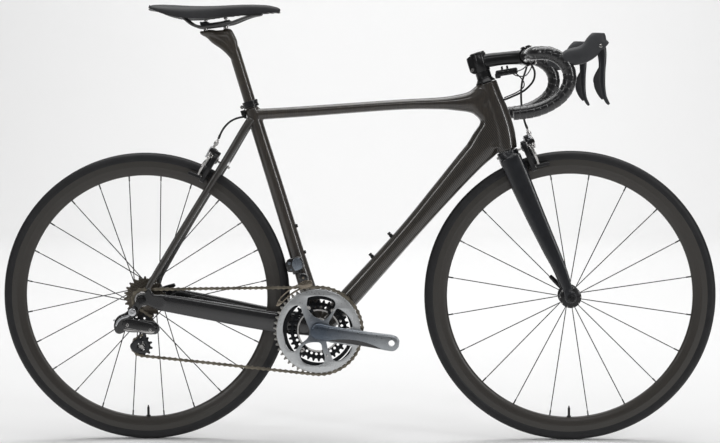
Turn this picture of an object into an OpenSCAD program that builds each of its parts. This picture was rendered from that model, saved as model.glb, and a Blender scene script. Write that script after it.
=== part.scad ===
/* [Wheels] */
// Outer radius of the inflated tyres
tyre_r = 335; // [334:0.5:336]
// Width of the tyres
tyre_w = 25; // [24:0.5:26]
// Distance between the two axles
wheelbase = 982; // [976:1:990]
// Inner radius of the deep rims
rim_in_r = 282; // [278:1:290]
// Spokes in the front wheel
front_spoke_count = 20; // [16:4:24]
// Spokes in the rear wheel
rear_spoke_count = 24; // [20:4:28]

/* [Frame] */
// Drop of the crank axis below the axles
bb_drop = 75; // [73:1:77]
// Angle of the steering axis from level
head_angle = 73; // [72.8:0.1:73.2]
// Wall of the frame tubes
wall = 2.5; // [2:0.5:3]

/* [Cockpit] */
// Half of the handlebar's width, between the centres of its drops
bar_half = 205; // [200:1:210]
// Radius of the bare handlebar
bar_r = 11.8; // [11:0.1:12]
// Radius of the handlebar with its tape
tape_r = 15; // [14:0.5:15.5]

/* [Drivetrain] */
// Length of the cranks, from axis to pedal thread
crank_len = 170; // [165:2.5:172.5]
// Teeth on the large chainring
big_teeth = 50; // [50:1:52]
// Teeth on the small chainring
small_teeth = 34; // [34:1:36]
// Pitch of the chain
pitch = 12.7; // [12.7:0.1:12.8]

/* [Seatpost] */
// Radius of the seatpost
post_r = 13.6; // [13.4:0.1:13.6]

/* [Hidden] */
// Axes, seen from the drive side: [x, z]
rear_axle = [-wheelbase / 2, tyre_r];
front_axle = [wheelbase / 2, tyre_r];
bb = [-87, tyre_r - bb_drop];
lean = 90 - head_angle;      // lean of the steering axis
steer_foot = [449, 335];     // a point on the steering axis, level with the axles
seat_lean = 16.7;            // lean of the seat tube
fork_lean = 23.3;            // lean of the fork blades' radial line, from the front axle
stay_lean = 31.15;           // lean of the seatstays' radial line, from the rear axle
fit = 0.05;                  // radial clearance of shafts in their bearings
gap = 0.3;                   // clearance between neighbours

// Heights along the steering axis, from its foot
t_crown = 352;
t_head_top = 514.2;
t_stem = 541;
stem_h = 41;
clamp_x = 107;               // reach of the stem, square to the steering axis
clamp_t = 544;               // height of the bar clamp along the steering axis
steerer_r = 14.3;
centre_bar_r = 15.85;
lug_z = 18.7;                // height of the bar clamp's bolts from its centre

// Heights along the seat tube, from the crank axis
t_seat_top = 535;

// Rows across the bicycle, towards the rider's left
ring_y = -46.5;
small_ring_y = -40.5;
cog_y = -60.5;
cog_step = 3.72;
cogs = [11, 12, 13, 14, 15, 16, 17, 18, 19, 21, 23];
front_drop_y = 50;           // inner face of the fork's dropouts
rear_drop_y = 65;            // inner face of the rear dropouts
crank_angle = -8.5;

// Pulleys and the derailleur's pivots: [x, z]
guide_c = [-489, 280];
tension_c = [-493, 227];
hanger_c = [-510, 308];
pulley_r = pitch / (2 * sin(180 / 11));

// Loft sections of the frame: [x, y, z, direction of the run, depth, width]
top_tube_s = [[-230, 0, 757, 3, 26, 30], [-129, 0, 762.6, 3.5, 25, 31],
    [90, 0, 777, 3.5, 24, 33], [190, 0, 780, 4, 28, 36], [232, 0, 781, 4, 37, 38],
    [262, 0, 783, 2, 50, 40], [286, 0, 788, 0, 82, 42], [300, 0, 790, 0, 92, 44]];
down_tube_s = [[-80, 0, 266, 48, 46, 52], [-21, 0, 328, 48, 48, 48],
    [110, 0, 473.5, 48, 44.5, 44], [196, 0, 573, 48.5, 51, 43],
    [262, 0, 648, 48.5, 60, 43], [298, 0, 697, 52, 82, 44], [322, 0, 716, 60, 66, 46]];
seat_tube_s = [[-88, 0, 264, 106.7, 44, 46], [-137, 0, 427, 106.7, 36.6, 36],
    [-182, 0, 577, 106.7, 34.5, 33], [-226, 0, 722, 106.7, 32.5, 33],
    [-240.6, 0, 772, 106.7, 32.5, 33]];
head_tube_s = [[347, 0, 671.5, 107, 49, 48], [339, 0, 712, 107, 53, 47],
    [325, 0, 757, 107, 53, 46], [311, 0, 793, 107, 50, 45], [299, 0, 826.5, 107, 49.5, 46]];
chainstay_s = [[-98, 24, 266, 170, 44, 18], [-160, 26.5, 275, 170, 48, 16],
    [-214, 32, 283, 170, 48, 16], [-300, 45, 300, 170, 46, 16],
    [-400, 61, 320, 170, 42, 12], [-452, 68.5, 329, 170, 38, 6.5]];
seatstay_s = [[-240, 12, 748, 239, 20, 15], [-262, 19, 714, 239, 18, 15],
    [-300, 27, 651, 239, 17, 14], [-386, 42, 514, 239, 14.5, 12],
    [-456, 61, 398, 239, 14, 10], [-478, 68.2, 359, 239, 14, 6]];
fork_s = [[355, 27, 658, -67, 56, 20], [376, 30, 604, -67, 50, 18],
    [412, 36.5, 520, -67, 42, 16], [448.5, 44, 440, -67, 34, 13],
    [470, 49.5, 393, -67, 27, 9], [484, 53, 352, -67, 22, 6]];

// Centre lines chosen by hand: [x, y, z]
bar_path = [[392, 28, 886], [392, 60, 886], [392, 110, 886], [392, 150, 886], [394, 172, 886],
    [401, 188, 886.5], [413, 198, 886.5], [428, 203, 885], [440, 205, 880], [451, 205, 873],
    [461, 205, 863], [468, 205, 850], [471, 205, 835], [469, 205, 819], [462, 205.5, 804],
    [451, 206, 791], [438, 207, 781], [420, 208, 771], [398, 209, 763], [376, 209.6, 759],
    [352, 210, 756.5]];
tape_first = 2;              // the tape starts this far along the bar's path
front_housing_path = [[396, 52, 868], [393, 40, 858], [388, 22, 846], [382, 2, 830],
    [379, -10, 812], [378, -18, 794], [379, -22, 774], [382, -24, 755], [386.2, -24, 736],
    [391.8, -24, 722]];
rear_housing_path = [[397, -52, 868], [402, -54, 860], [406, -54, 850], [406, -52, 838],
    [402, -49, 827], [394, -45, 817], [384, -39, 808], [372, -31, 801], [361, -25, 796],
    [352, -21, 793]];
wire_path = [[356, -6, 852], [368, -14, 846], [378, -20, 836], [384, -25, 826], [383, -28, 816],
    [374, -25, 808], [364, -20, 802], [355, -15, 799]];
frame_housing_path = [[-256, 2, 752], [-264, 0, 751], [-276, -5, 748], [-288, -11, 742],
    [-298, -17, 733], [-306, -22, 722], [-311.5, -24.5, 711], [-315.4, -25, 702]];

// The saddle along its length: [x, half width, top height, skirt height]
saddle_s = [[-473, 40, 1004, 998], [-462, 58, 1007, 982], [-440, 65, 1009, 976],
    [-410, 63, 1008, 974], [-380, 54, 1006.5, 973], [-350, 41, 1006, 974],
    [-320, 31, 1006.5, 976], [-285, 24, 1008, 980], [-245, 20, 1009, 983],
    [-205, 18, 1007, 986], [-182, 14, 1003, 988], [-173, 8, 998, 990]];
rail_path = [[-396, 22, 984], [-385, 22, 973], [-370, 22, 962], [-352, 22, 957.5],
    [-320, 22, 961], [-290, 22, 965], [-276, 22, 968], [-258, 18, 973], [-240, 11, 980],
    [-222, 7, 985]];

// ---- placing ----------------------------------------------------------

// Turns a shape drawn about +Z so that +Z points to the drive side, at [x, z]
module across(p, y = 0) translate([p[0], y, p[1]]) rotate([90, 0, 0]) children();

// A cylinder across the bicycle, from y0 to y1
module rod(p, r, y0, y1) across(p, y1) cylinder(r = r, h = y1 - y0, $fn = 48);

// A ring across the bicycle
module ring(p, r_out, r_in, y0, y1) across(p, y1) difference() {
    cylinder(r = r_out, h = y1 - y0, $fn = 48);
    translate([0, 0, -1]) cylinder(r = r_in, h = y1 - y0 + 2, $fn = 48);
}

// The frame of the steering axis, at height t along it
module on_steerer(t = 0) translate([steer_foot[0], 0, steer_foot[1]])
    rotate([0, -lean, 0]) translate([0, 0, t]) children();

// The frame of the seat tube, at height t above the crank axis
module on_seat_tube(t = 0) translate([bb[0], 0, bb[1]])
    rotate([0, -seat_lean, 0]) translate([0, 0, t]) children();

// Both sides of the bicycle
module both_sides() {
    children();
    mirror([0, 1, 0]) children();
}

// ---- lofts and swept tubes ---------------------------------------------

// A thin elliptical slice, square to the run
module slice(s, inset = 0) translate([s[0], s[1], s[2]]) rotate([0, 90 - s[3], 0])
    scale([s[4] / 2 - inset, s[5] / 2 - inset, 1])
        cylinder(r = 1, h = 0.6, center = true, $fn = inset > 0 ? 16 : 28);

module loft(sections, inset = 0)
    for (i = [0 : len(sections) - 2]) hull() {
        slice(sections[i], inset);
        slice(sections[i + 1], inset);
    }

function unit(v) = v / norm(v);
function flip_y(path) = [for (p = path) [p[0], -p[1], p[2]]];
function along(path, i) = unit(path[min(i + 1, len(path) - 1)] - path[max(i - 1, 0)]);

// One ring of points round a path, square to it
function ring_at(path, i, r, n) =
    let (t = along(path, i), ref = abs(t[1]) > 0.9 ? [1, 0, 0] : [0, 1, 0],
         u = unit(cross(t, ref)), v = cross(t, u))
    [for (k = [0 : n - 1]) path[i] + r * (cos(360 * k / n) * u + sin(360 * k / n) * v)];

// A round tube along a path of hand-chosen points, solid when r_in is 0
module swept(path, r, r_in = 0, n = 8) {
    m = len(path);
    outer = [for (i = [0 : m - 1]) each ring_at(path, i, r, n)];
    inner = [for (i = [0 : m - 1]) each ring_at(path, i, r_in, n)];
    o = m * n;
    skin = [for (i = [0 : m - 2], k = [0 : n - 1])
        [i * n + k, (i + 1) * n + k, (i + 1) * n + (k + 1) % n, i * n + (k + 1) % n]];
    if (r_in == 0)
        polyhedron(outer, concat(skin, [[for (k = [0 : n - 1]) k]],
            [[for (k = [n - 1 : -1 : 0]) (m - 1) * n + k]]), convexity = 6);
    else
        polyhedron(concat(outer, inner), concat(skin,
            [for (f = skin) [o + f[3], o + f[2], o + f[1], o + f[0]]],
            [for (k = [0 : n - 1]) [k, (k + 1) % n, o + (k + 1) % n, o + k]],
            [for (k = [0 : n - 1]) let (a = (m - 1) * n)
                [a + k, o + a + k, o + a + (k + 1) % n, a + (k + 1) % n]]), convexity = 8);
}

// ---- frame --------------------------------------------------------------

module front_triangle() color([0.09, 0.08, 0.07]) difference() {
    union() {
        loft(top_tube_s);
        loft(down_tube_s);
        loft(seat_tube_s);
        loft(head_tube_s);
        rod(bb, 25, -34, 34);
    }
    intersection() {
        union() {
            loft([for (i = [0 : 6]) top_tube_s[i]], wall);
            loft([for (i = [0 : 5]) down_tube_s[i]], wall);
        }
        translate([0, 0, 500]) cube([560, 100, 800], center = true);
    }
    loft([for (i = [0 : 2]) seat_tube_s[i]], wall);
    on_steerer(t_crown - 20) cylinder(r = 20.6, h = t_head_top - t_crown + 60, $fn = 48);
    on_steerer(t_head_top + 0.3) cylinder(r = 24.5, h = 14, $fn = 48);
    on_seat_tube(300) cylinder(r = post_r + gap, h = 300, $fn = 48);
    rod(bb, 20.6, -40, 40);
}

module chainstays() color([0.08, 0.08, 0.08]) difference() {
    union() {
        both_sides() {
            loft(chainstay_s);
            // dropout plate
            hull() {
                translate([-452, 68.5, 329]) rotate([90, 0, 0])
                    cylinder(r = 17, h = 7, center = true, $fn = 32);
                rod([rear_axle[0] + 1, rear_axle[1] + 1], 14, rear_drop_y, rear_drop_y + 7);
                rod([-477, 358], 6, rear_drop_y, rear_drop_y + 7);
            }
        }
        hull() {
            rod([rear_axle[0] - 4, rear_axle[1] - 6], 9, -rear_drop_y - 7, -rear_drop_y);
            rod(hanger_c, 9, -rear_drop_y - 7, -rear_drop_y);
        }
        rod([-118, 268], 15, -25, 25);
    }
    both_sides() {
        rod(rear_axle, 5.2, rear_drop_y - 1, rear_drop_y + 9);
        translate([rear_axle[0] - 3.5, rear_drop_y + 3.5, rear_axle[1] - 12]) rotate([0, 14, 0])
            cube([9.8, 12, 26], center = true);
    }
    rod(hanger_c, 5 + fit, -90, -50);
    rod(bb, 25 + gap, -60, 60);
    loft([for (s = down_tube_s) [s[0], s[1], s[2], s[3], s[4] + gap, s[5] + gap]]);
    loft([for (s = seat_tube_s) [s[0], s[1], s[2], s[3], s[4] + gap, s[5] + gap]]);
}

module seatstays() color([0.08, 0.08, 0.08]) difference() {
    union() {
        both_sides() loft(seatstay_s);
        hull() {
            translate([-306, 0, 641]) rotate([90, 0, 0])
                cylinder(r = 8, h = 50, center = true, $fn = 32);
            translate([-299, 0, 652]) rotate([90, 0, 0])
                cylinder(r = 7, h = 50, center = true, $fn = 32);
        }
    }
    loft([for (s = seat_tube_s) [s[0], s[1], s[2], s[3], s[4] + gap, s[5] + gap]]);
    loft([for (s = top_tube_s) [s[0], s[1], s[2], s[3], s[4] + gap, s[5] + gap]]);
    on_seat_tube(300) cylinder(r = 17.5, h = 300, $fn = 48);
    both_sides() hull() {
        translate([-452, 68.5, 329]) rotate([90, 0, 0])
            cylinder(r = 17 + gap, h = 8, center = true, $fn = 32);
        rod([-477, 358], 6 + gap, rear_drop_y - 1, rear_drop_y + 8);
    }
    on_stays(357, 0) rotate([0, 90, 0]) cylinder(r = 3.3, h = 60, center = true, $fn = 32);
    swept(frame_housing_path, 3.2);
}

module seat_collar() {
    color([0.1, 0.1, 0.1]) on_seat_tube(t_seat_top + 1) difference() {
        union() {
            cylinder(r = 18.2, h = 15, $fn = 64);
            translate([-27, -7, 1]) cube([12, 14, 12]);
        }
        translate([0, 0, -1]) cylinder(r = post_r + fit, h = 20, $fn = 64);
        translate([-30, -0.8, -1]) cube([20, 1.6, 20]);
        translate([-22, 0, 7]) rotate([90, 0, 0]) cylinder(r = 2.6, h = 30, center = true, $fn = 32);
    }
    color([0.3, 0.3, 0.3]) on_seat_tube(t_seat_top + 8) translate([-22, 0, 0]) rotate([90, 0, 0]) {
        cylinder(r = 2.5, h = 18, center = true, $fn = 32);
        translate([0, 0, 7.2]) cylinder(r = 4.4, h = 5, $fn = 32);
    }
}

// Bottle screws: two on the seat tube, two on the down tube
module bottle_bolts() color([0.12, 0.12, 0.12]) {
    for (t = [180, 244]) on_seat_tube(t) translate([t == 180 ? 18.6 : 18.2, 0, 0])
        rotate([0, 90, 0]) cylinder(r = 4, h = 3.4, $fn = 32);
    for (p = [[32, 0, 431.5], [75.5, 0, 480]]) translate(p) rotate([0, -42, 0])
        cylinder(r = 4, h = 3.4, $fn = 32);
}

module headset_bearings() color([0.3, 0.3, 0.32])
    for (t = [t_crown + 1.5, t_head_top - 9.5]) on_steerer(t) difference() {
        cylinder(r = 20.3, h = 8, $fn = 64);
        translate([0, 0, -1]) cylinder(r = steerer_r + fit, h = 10, $fn = 64);
    }

module bottom_bracket() color([0.15, 0.15, 0.15]) both_sides() {
    ring(bb, 20.3, 12 + fit, 20, 34);
    ring(bb, 22.5, 12 + fit, 34.2, 38.5);
}

// The housing from the frame to the rear brake, with its ferrule
module rear_brake_housing() color([0.06, 0.06, 0.06]) swept(frame_housing_path, 2.5);

// ---- quick releases -----------------------------------------------------

module rear_skewer() color([0.2, 0.2, 0.21]) {
    rod(rear_axle, 5, -71.5, 71.5);
    rod(rear_axle, 2.5, -80, -71.5);
    rod(rear_axle, 9, -81, -72.3);
    rod(rear_axle, 8.5, 72.3, 79);
}

module front_skewer() color([0.2, 0.2, 0.21]) {
    rod(front_axle, 4.5, -56.2, 56.2);
    rod(front_axle, 2.5, -64, -56.2);
    rod(front_axle, 8.5, -66, -56.6);
    rod(front_axle, 8, 56.6, 63);
}

// A cam lever lying close to the wheel; its pivot is across the lever
module cam_lever(p, y, angle) translate([p[0], y, p[1]]) rotate([0, -angle, 0]) {
    cylinder(r = 6, h = 14, center = true, $fn = 40);
    hull() {
        translate([8, 0, 0]) cylinder(r = 4, h = 12, center = true, $fn = 32);
        translate([30, 3, 0]) cylinder(r = 3, h = 11, center = true, $fn = 32);
        translate([54, 3, 0]) cylinder(r = 3, h = 8, center = true, $fn = 32);
    }
}

module rear_qr_lever() color([0.15, 0.15, 0.16]) cam_lever(rear_axle, 85.4, 18);
module front_qr_lever() color([0.15, 0.15, 0.16]) cam_lever(front_axle, 69.4, 135);

// ---- seatpost and saddle -------------------------------------------------

module seatpost() color([0.1, 0.09, 0.08]) difference() {
    union() {
        on_seat_tube(435) cylinder(r = post_r, h = 225, $fn = 64);
        hull() {
            on_seat_tube(655) cylinder(r = post_r - 0.5, h = 10, $fn = 32);
            on_seat_tube(688) cylinder(r = post_r - 0.5, h = 4, $fn = 32);
            translate([-322, 0, 937]) rotate([90, 0, 0])
                cylinder(r = 12, h = 25, center = true, $fn = 32);
        }
        hull() {
            translate([-346, 0, 944.5]) rotate([90, 0, 0])
                cylinder(r = 7, h = 30, center = true, $fn = 32);
            translate([-298, 0, 946]) rotate([90, 0, 0])
                cylinder(r = 9.5, h = 30, center = true, $fn = 32);
        }
    }
    on_seat_tube(430) cylinder(r = post_r - 2, h = 225, $fn = 48);
}

// Two cradles over the rails and the bolts that draw them down
module seat_clamp() {
    color([0.06, 0.06, 0.06]) for (x = [-345, -299]) translate([x, 0, 0]) {
        difference() {
            translate([-6, -17, 962]) cube([12, 34, 9]);
            translate([0, 0, 960]) cylinder(r = 2.6, h = 12, $fn = 32);
        }
    }
    color([0.25, 0.25, 0.25]) for (x = [-345, -299]) translate([x, 0, 0]) {
        translate([0, 0, 956.2]) cylinder(r = 2.5, h = 22, $fn = 32);
        translate([0, 0, 971.3]) cylinder(r = 4.5, h = 4, $fn = 32);
    }
}

module battery() color([0.05, 0.05, 0.05])
    on_seat_tube(450) cylinder(r = 9.5, h = 157, $fn = 48);

module saddle_slice(s, lift, inset) {
    w = s[1] - inset;
    top = s[2] - inset + lift;
    low = s[3] + lift;
    translate([s[0], 0, 0]) rotate([90, 0, 90]) linear_extrude(0.5)
        polygon([[-w * 0.45, top - 0.5], [w * 0.45, top - 0.5], [w * 0.8, top - 5],
            [w, (top + low) / 2], [w * 0.98, low], [w * 0.8, low - 1], [-w * 0.8, low - 1],
            [-w * 0.98, low], [-w, (top + low) / 2], [-w * 0.8, top - 5]]);
}

module saddle_body(lift = 0, inset = 0) for (i = [0 : len(saddle_s) - 2]) hull() {
    saddle_slice(saddle_s[i], lift, inset);
    saddle_slice(saddle_s[i + 1], lift, inset);
}

module saddle_cover() color([0.2, 0.2, 0.22]) difference() {
    saddle_body();
    saddle_body(-9, 3);
}

module saddle_shell() color([0.07, 0.07, 0.07]) difference() {
    saddle_body(-9.3, 3.4);
    saddle_body(-12.5, 6);
    both_sides() swept(rail_path, 3.9);
}

module saddle_rails() color([0.12, 0.12, 0.12]) both_sides() swept(rail_path, 3.6);

// ---- fork and cockpit -----------------------------------------------------

module fork() color([0.08, 0.08, 0.09]) difference() {
    union() {
        both_sides() {
            loft(fork_s);
            hull() {
                slice(fork_s[5]);
                rod(front_axle, 9, front_drop_y, front_drop_y + 6);
            }
        }
        hull() {
            on_steerer(t_crown - 4) scale([24.5, 24, 1]) cylinder(r = 1, h = 2.6, $fn = 40);
            both_sides() slice(fork_s[0]);
        }
    }
    both_sides() {
        rod(front_axle, 4.7, front_drop_y - 1, front_drop_y + 8);
        translate([front_axle[0], front_drop_y + 3, front_axle[1] - 10])
            cube([9.2, 10, 20], center = true);
    }
    on_fork(357, 0) rotate([0, 90, 0]) cylinder(r = 3.3, h = 90, center = true, $fn = 32);
}

module steerer_tube() color([0.12, 0.12, 0.12]) on_steerer(t_crown - 1.3) difference() {
    union() {
        cylinder(r = steerer_r, h = t_stem + stem_h - t_crown - 1, $fn = 64);
        cylinder(r = 19, h = 2.5, $fn = 64);
    }
    translate([0, 0, 3]) cylinder(r = 11.5, h = 300, $fn = 64);
}

// Top bearing cover, spacer, and the cap with its bolt
module headset_covers() color([0.08, 0.08, 0.08]) {
    on_steerer(t_head_top + 0.6) difference() {
        union() {
            cylinder(r1 = 23.5, r2 = 17.5, h = 8, $fn = 64);
            cylinder(r = 17.2, h = t_stem - t_head_top - 0.8, $fn = 64);
        }
        translate([0, 0, -1]) cylinder(r = steerer_r + fit, h = 40, $fn = 64);
    }
    on_steerer(t_stem + stem_h + 0.2) {
        cylinder(r1 = 17, r2 = 15, h = 4, $fn = 64);
        translate([0, 0, -28]) cylinder(r = 3, h = 30, $fn = 32);
        translate([0, 0, -30]) cylinder(r = 11.3, h = 9, $fn = 48);
    }
}

module on_bar_clamp() on_steerer(clamp_t) translate([clamp_x, 0, 0]) children();

module stem() color([0.09, 0.09, 0.09]) difference() {
    union() {
        on_steerer(t_stem) cylinder(r = 18.5, h = stem_h, $fn = 48);
        hull() {
            on_steerer(t_stem + 4.7) translate([14, 0, 0])
                cylinder(r = 13, h = stem_h - 9.4, $fn = 32);
            on_bar_clamp() translate([-18, 0, 0]) rotate([90, 0, 0])
                cylinder(r = 15, h = 31, center = true, $fn = 32);
        }
        on_bar_clamp() rotate([90, 0, 0]) cylinder(r = 20, h = 40, center = true, $fn = 48);
        on_steerer(t_stem + 3) translate([-27, -12, 0]) cube([16, 24, stem_h - 6]);
        for (s = [-1, 1]) on_bar_clamp() translate([-9, -20, s * lug_z - 4.5]) cube([9.4, 40, 9]);
    }
    on_steerer(t_stem - 5) cylinder(r = steerer_r + fit, h = stem_h + 10, $fn = 48);
    on_steerer(t_stem - 5) translate([-40, -1, 0]) cube([30, 2, stem_h + 10]);
    on_bar_clamp() rotate([90, 0, 0]) cylinder(r = centre_bar_r + fit, h = 60, center = true, $fn = 64);
    on_bar_clamp() translate([1, -40, -40]) cube([60, 80, 80]);
    for (t = [10, 31]) on_steerer(t_stem + t) translate([-21, 0, 0]) rotate([90, 0, 0])
        cylinder(r = 2.7, h = 60, center = true, $fn = 32);
    for (s = [-1, 1], y = [-14, 14]) on_bar_clamp() translate([-6, y, s * lug_z])
        rotate([0, 90, 0]) cylinder(r = 2.7, h = 40, $fn = 32);
}

module stem_faceplate() color([0.09, 0.09, 0.09]) on_bar_clamp() difference() {
    union() {
        rotate([90, 0, 0]) cylinder(r = 20, h = 40, center = true, $fn = 48);
        for (s = [-1, 1]) translate([1.6, -20, s * lug_z - 4.5]) cube([11, 40, 9]);
    }
    rotate([90, 0, 0]) cylinder(r = centre_bar_r + fit, h = 60, center = true, $fn = 64);
    translate([-60 + 1.5, -40, -40]) cube([60, 80, 80]);
    for (s = [-1, 1], y = [-14, 14]) translate([-6, y, s * lug_z])
        rotate([0, 90, 0]) cylinder(r = 2.7, h = 40, $fn = 32);
}

module stem_bolts() color([0.35, 0.35, 0.36]) {
    for (i = [0, 1]) on_steerer(t_stem + [10, 31][i]) translate([-21, 0, 0])
        rotate([i == 0 ? 90 : -90, 0, 0]) {
            cylinder(r = 2.5, h = 22, center = true, $fn = 32);
            translate([0, 0, 12.2]) cylinder(r = 4.2, h = 4, $fn = 32);
        }
    for (s = [-1, 1], y = [-14, 14]) on_bar_clamp() translate([-4, y, s * lug_z])
        rotate([0, 90, 0]) {
            cylinder(r = 2.5, h = 19, $fn = 32);
            translate([0, 0, 18]) cylinder(r = 4, h = 3.6, $fn = 32);
        }
}

module handlebar() color([0.12, 0.12, 0.12]) {
    on_bar_clamp() rotate([90, 0, 0]) cylinder(r = centre_bar_r, h = 64, center = true, $fn = 64);
    both_sides() swept(bar_path, bar_r, n = 12);
}

// Tape wound over the bar, and a plug in each open end
module bar_tape() {
    wrapped = [for (i = [tape_first : len(bar_path) - 1]) bar_path[i]];
    color([0.06, 0.06, 0.06]) both_sides() swept(wrapped, tape_r, bar_r + 0.25, 12);
    color([0.05, 0.05, 0.05]) both_sides() translate([351.2, 210, 756.4]) rotate([0, -96, 0])
        cylinder(r = 14.6, h = 3, $fn = 32);
}

pivot_c = [536, 900];        // brake lever pivot, seen from the side

// The rubber-covered brackets that hold the levers
module lever_hoods() color([0.1, 0.1, 0.1]) for (side = [1, -1]) difference() {
    union() {
        hull() {
            rod([462, 878], 16, side * bar_half - 15, side * bar_half + 15);
            rod([492, 878.5], 17, side * bar_half - 15, side * bar_half + 15);
        }
        hull() {
            rod([492, 878.5], 17, side * bar_half - 15, side * bar_half + 15);
            rod([514, 890], 18, side * bar_half - 14, side * bar_half + 14);
        }
        hull() {
            rod([514, 890], 18, side * bar_half - 14, side * bar_half + 14);
            rod([528, 919], 13, side * bar_half - 13, side * bar_half + 13);
            rod([542, 908], 13, side * bar_half - 13, side * bar_half + 13);
        }
    }
    swept(side > 0 ? bar_path : flip_y(bar_path), tape_r + gap, n = 12);
    hull() {
        rod(pivot_c, 12.8, side * bar_half - 7, side * bar_half + 7);
        rod([548, 872], 14, side * bar_half - 7, side * bar_half + 7);
        rod([512, 868], 14, side * bar_half - 7, side * bar_half + 7);
    }
}

// A lever blade hung from its pivot
module brake_lever(side) color([0.09, 0.09, 0.1]) difference() {
    union() {
        rod(pivot_c, 12, side * bar_half - 6, side * bar_half + 6);
        for (s = [[[536, 898], 11, [539, 866], 9], [[539, 866], 9, [539.5, 838], 7.5],
                  [[539.5, 838], 7.5, [541.5, 800], 6.5], [[541.5, 800], 6.5, [551, 779], 5]])
            hull() {
                rod(s[0], s[1], side * bar_half - 6, side * bar_half + 6);
                rod(s[2], s[3], side * bar_half - 6, side * bar_half + 6);
            }
    }
    rod(pivot_c, 2.5, side * bar_half - 8, side * bar_half + 8);
}

module brake_lever_right() brake_lever(-1);
module brake_lever_left() brake_lever(1);

// Shift buttons behind the blade: the upper one is short, the lower one long
module shift_button(side, upper) color([0.13, 0.13, 0.14]) hull()
    for (p = upper ? [[523, 846], [524.5, 832]] : [[524.5, 819], [527.5, 801]])
        rod(p, upper ? 5.5 : 5, side * bar_half - 4, side * bar_half + 5);

module right_upper_button() shift_button(-1, true);
module right_lower_button() shift_button(-1, false);
module left_upper_button() shift_button(1, true);
module left_lower_button() shift_button(1, false);

module front_brake_housing() color([0.06, 0.06, 0.06]) swept(front_housing_path, 2.5);

// Rear brake housing and shift wire to the head tube, and the wiring box under the stem
module steering_lines() {
    color([0.05, 0.05, 0.05]) on_steerer(523) translate([33, 0, 0])
        rotate([0, 8, 0]) translate([-4, -11, -6]) cube([34, 22, 11]);
    color([0.06, 0.06, 0.06]) swept(rear_housing_path, 2.5);
    color([0.04, 0.04, 0.04]) swept(wire_path, 1.4, n = 6);
}

// ---- brakes -----------------------------------------------------------------

// Frames whose +Z runs out along the wheel's radius at the brake
module on_fork(t, x) translate([front_axle[0], 0, front_axle[1]])
    rotate([0, -fork_lean, 0]) translate([x, 0, t]) children();
module on_stays(t, x) translate([rear_axle[0], 0, rear_axle[1]])
    rotate([0, stay_lean, 0]) translate([-x, 0, t]) mirror([1, 0, 0]) children();

// Places a caliper part on either brake; x runs away from the frame
module on_brake(front) {
    if (front) on_fork(357, 34) children();
    else on_stays(357, 18) children();
}

// A pad in its holder, along the brake track
module brake_pad(side) {
    translate([19, 0, -51.6]) rotate([0, 9.9, 0]) {
        color([0.16, 0.16, 0.17]) translate([0, side * 18.2, 0]) cube([50, 7.2, 8], center = true);
        color([0.05, 0.05, 0.05]) translate([0, side * 13.4, 0]) cube([50, 2.2, 9], center = true);
    }
}

// The arm that turns on the middle bolt and holds the pad at the drive side
module inner_arm(front) on_brake(front) {
    color([0.1, 0.1, 0.1]) rotate([0, 90, 0]) difference() {
        union() {
            cylinder(r = 9, h = 8, $fn = 40);
            hull() {
                cylinder(r = 8, h = 8, $fn = 32);
                translate([-8, -30, 0]) cylinder(r = 7, h = 8, $fn = 32);
            }
            hull() {
                translate([-8, -30, 0]) cylinder(r = 7, h = 8, $fn = 32);
                translate([22, -31, 0]) cylinder(r = 6, h = 8, $fn = 32);
            }
            hull() {
                translate([22, -31, 0]) cylinder(r = 6, h = 8, $fn = 32);
                translate([52, -24, 0]) cylinder(r = 6, h = 8, $fn = 32);
            }
        }
        translate([0, 0, -1]) cylinder(r = 3 + fit, h = 12, $fn = 32);
    }
    brake_pad(-1);
    color([0.4, 0.4, 0.4]) rotate([0, 90, 0]) {
        translate([0, 0, front ? -60 : -32]) cylinder(r = 2.95, h = front ? 76 : 48, $fn = 32);
        translate([0, 0, 8.3]) cylinder(r = 5, h = 5, $fn = 32);
    }
}

// The arm that turns on the side pivot and holds the pad at the other side
module outer_arm(front) on_brake(front) {
    color([0.5, 0.5, 0.52]) translate([9, 0, 0]) rotate([0, 90, 0]) difference() {
        union() {
            hull() {
                translate([-11, 23, 0]) cylinder(r = 8, h = 8, $fn = 32);
                translate([20, 31, 0]) cylinder(r = 6, h = 8, $fn = 32);
            }
            hull() {
                translate([20, 31, 0]) cylinder(r = 6, h = 8, $fn = 32);
                translate([52, 24, 0]) cylinder(r = 6, h = 8, $fn = 32);
            }
            hull() {
                translate([-11, 23, 0]) cylinder(r = 8, h = 8, $fn = 32);
                translate([-18, -22, 0]) cylinder(r = 6, h = 8, $fn = 32);
            }
        }
        translate([-11, 23, -1]) cylinder(r = 3 + fit, h = 12, $fn = 32);
    }
    brake_pad(1);
}

module front_brake_inner_arm() inner_arm(true);
module front_brake_outer_arm() outer_arm(true);
module rear_brake_inner_arm() inner_arm(false);
module rear_brake_outer_arm() outer_arm(false);

// ---- wheels -------------------------------------------------------------------

rim_out_r = tyre_r - tyre_w / 2 - 4.5;   // the rim's edge, where the tyre seats
casing_r = tyre_r - tyre_w / 2;          // centre of the tyre's section

// A tyre casing with its inner tube
module tyre(axle) across(axle) {
    color([0.05, 0.05, 0.06]) rotate_extrude($fn = 128) difference() {
        translate([casing_r, 0]) circle(r = tyre_w / 2, $fn = 48);
        translate([casing_r, 0]) circle(r = tyre_w / 2 - 1.6, $fn = 48);
        translate([rim_out_r - 20, -20]) square([20.2, 40]);
    }
    color([0.1, 0.1, 0.1]) rotate_extrude($fn = 128) difference() {
        translate([casing_r + 0.5, 0]) circle(r = 7.6, $fn = 32);
        translate([casing_r + 0.5, 0]) circle(r = 6.7, $fn = 32);
    }
}

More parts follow.
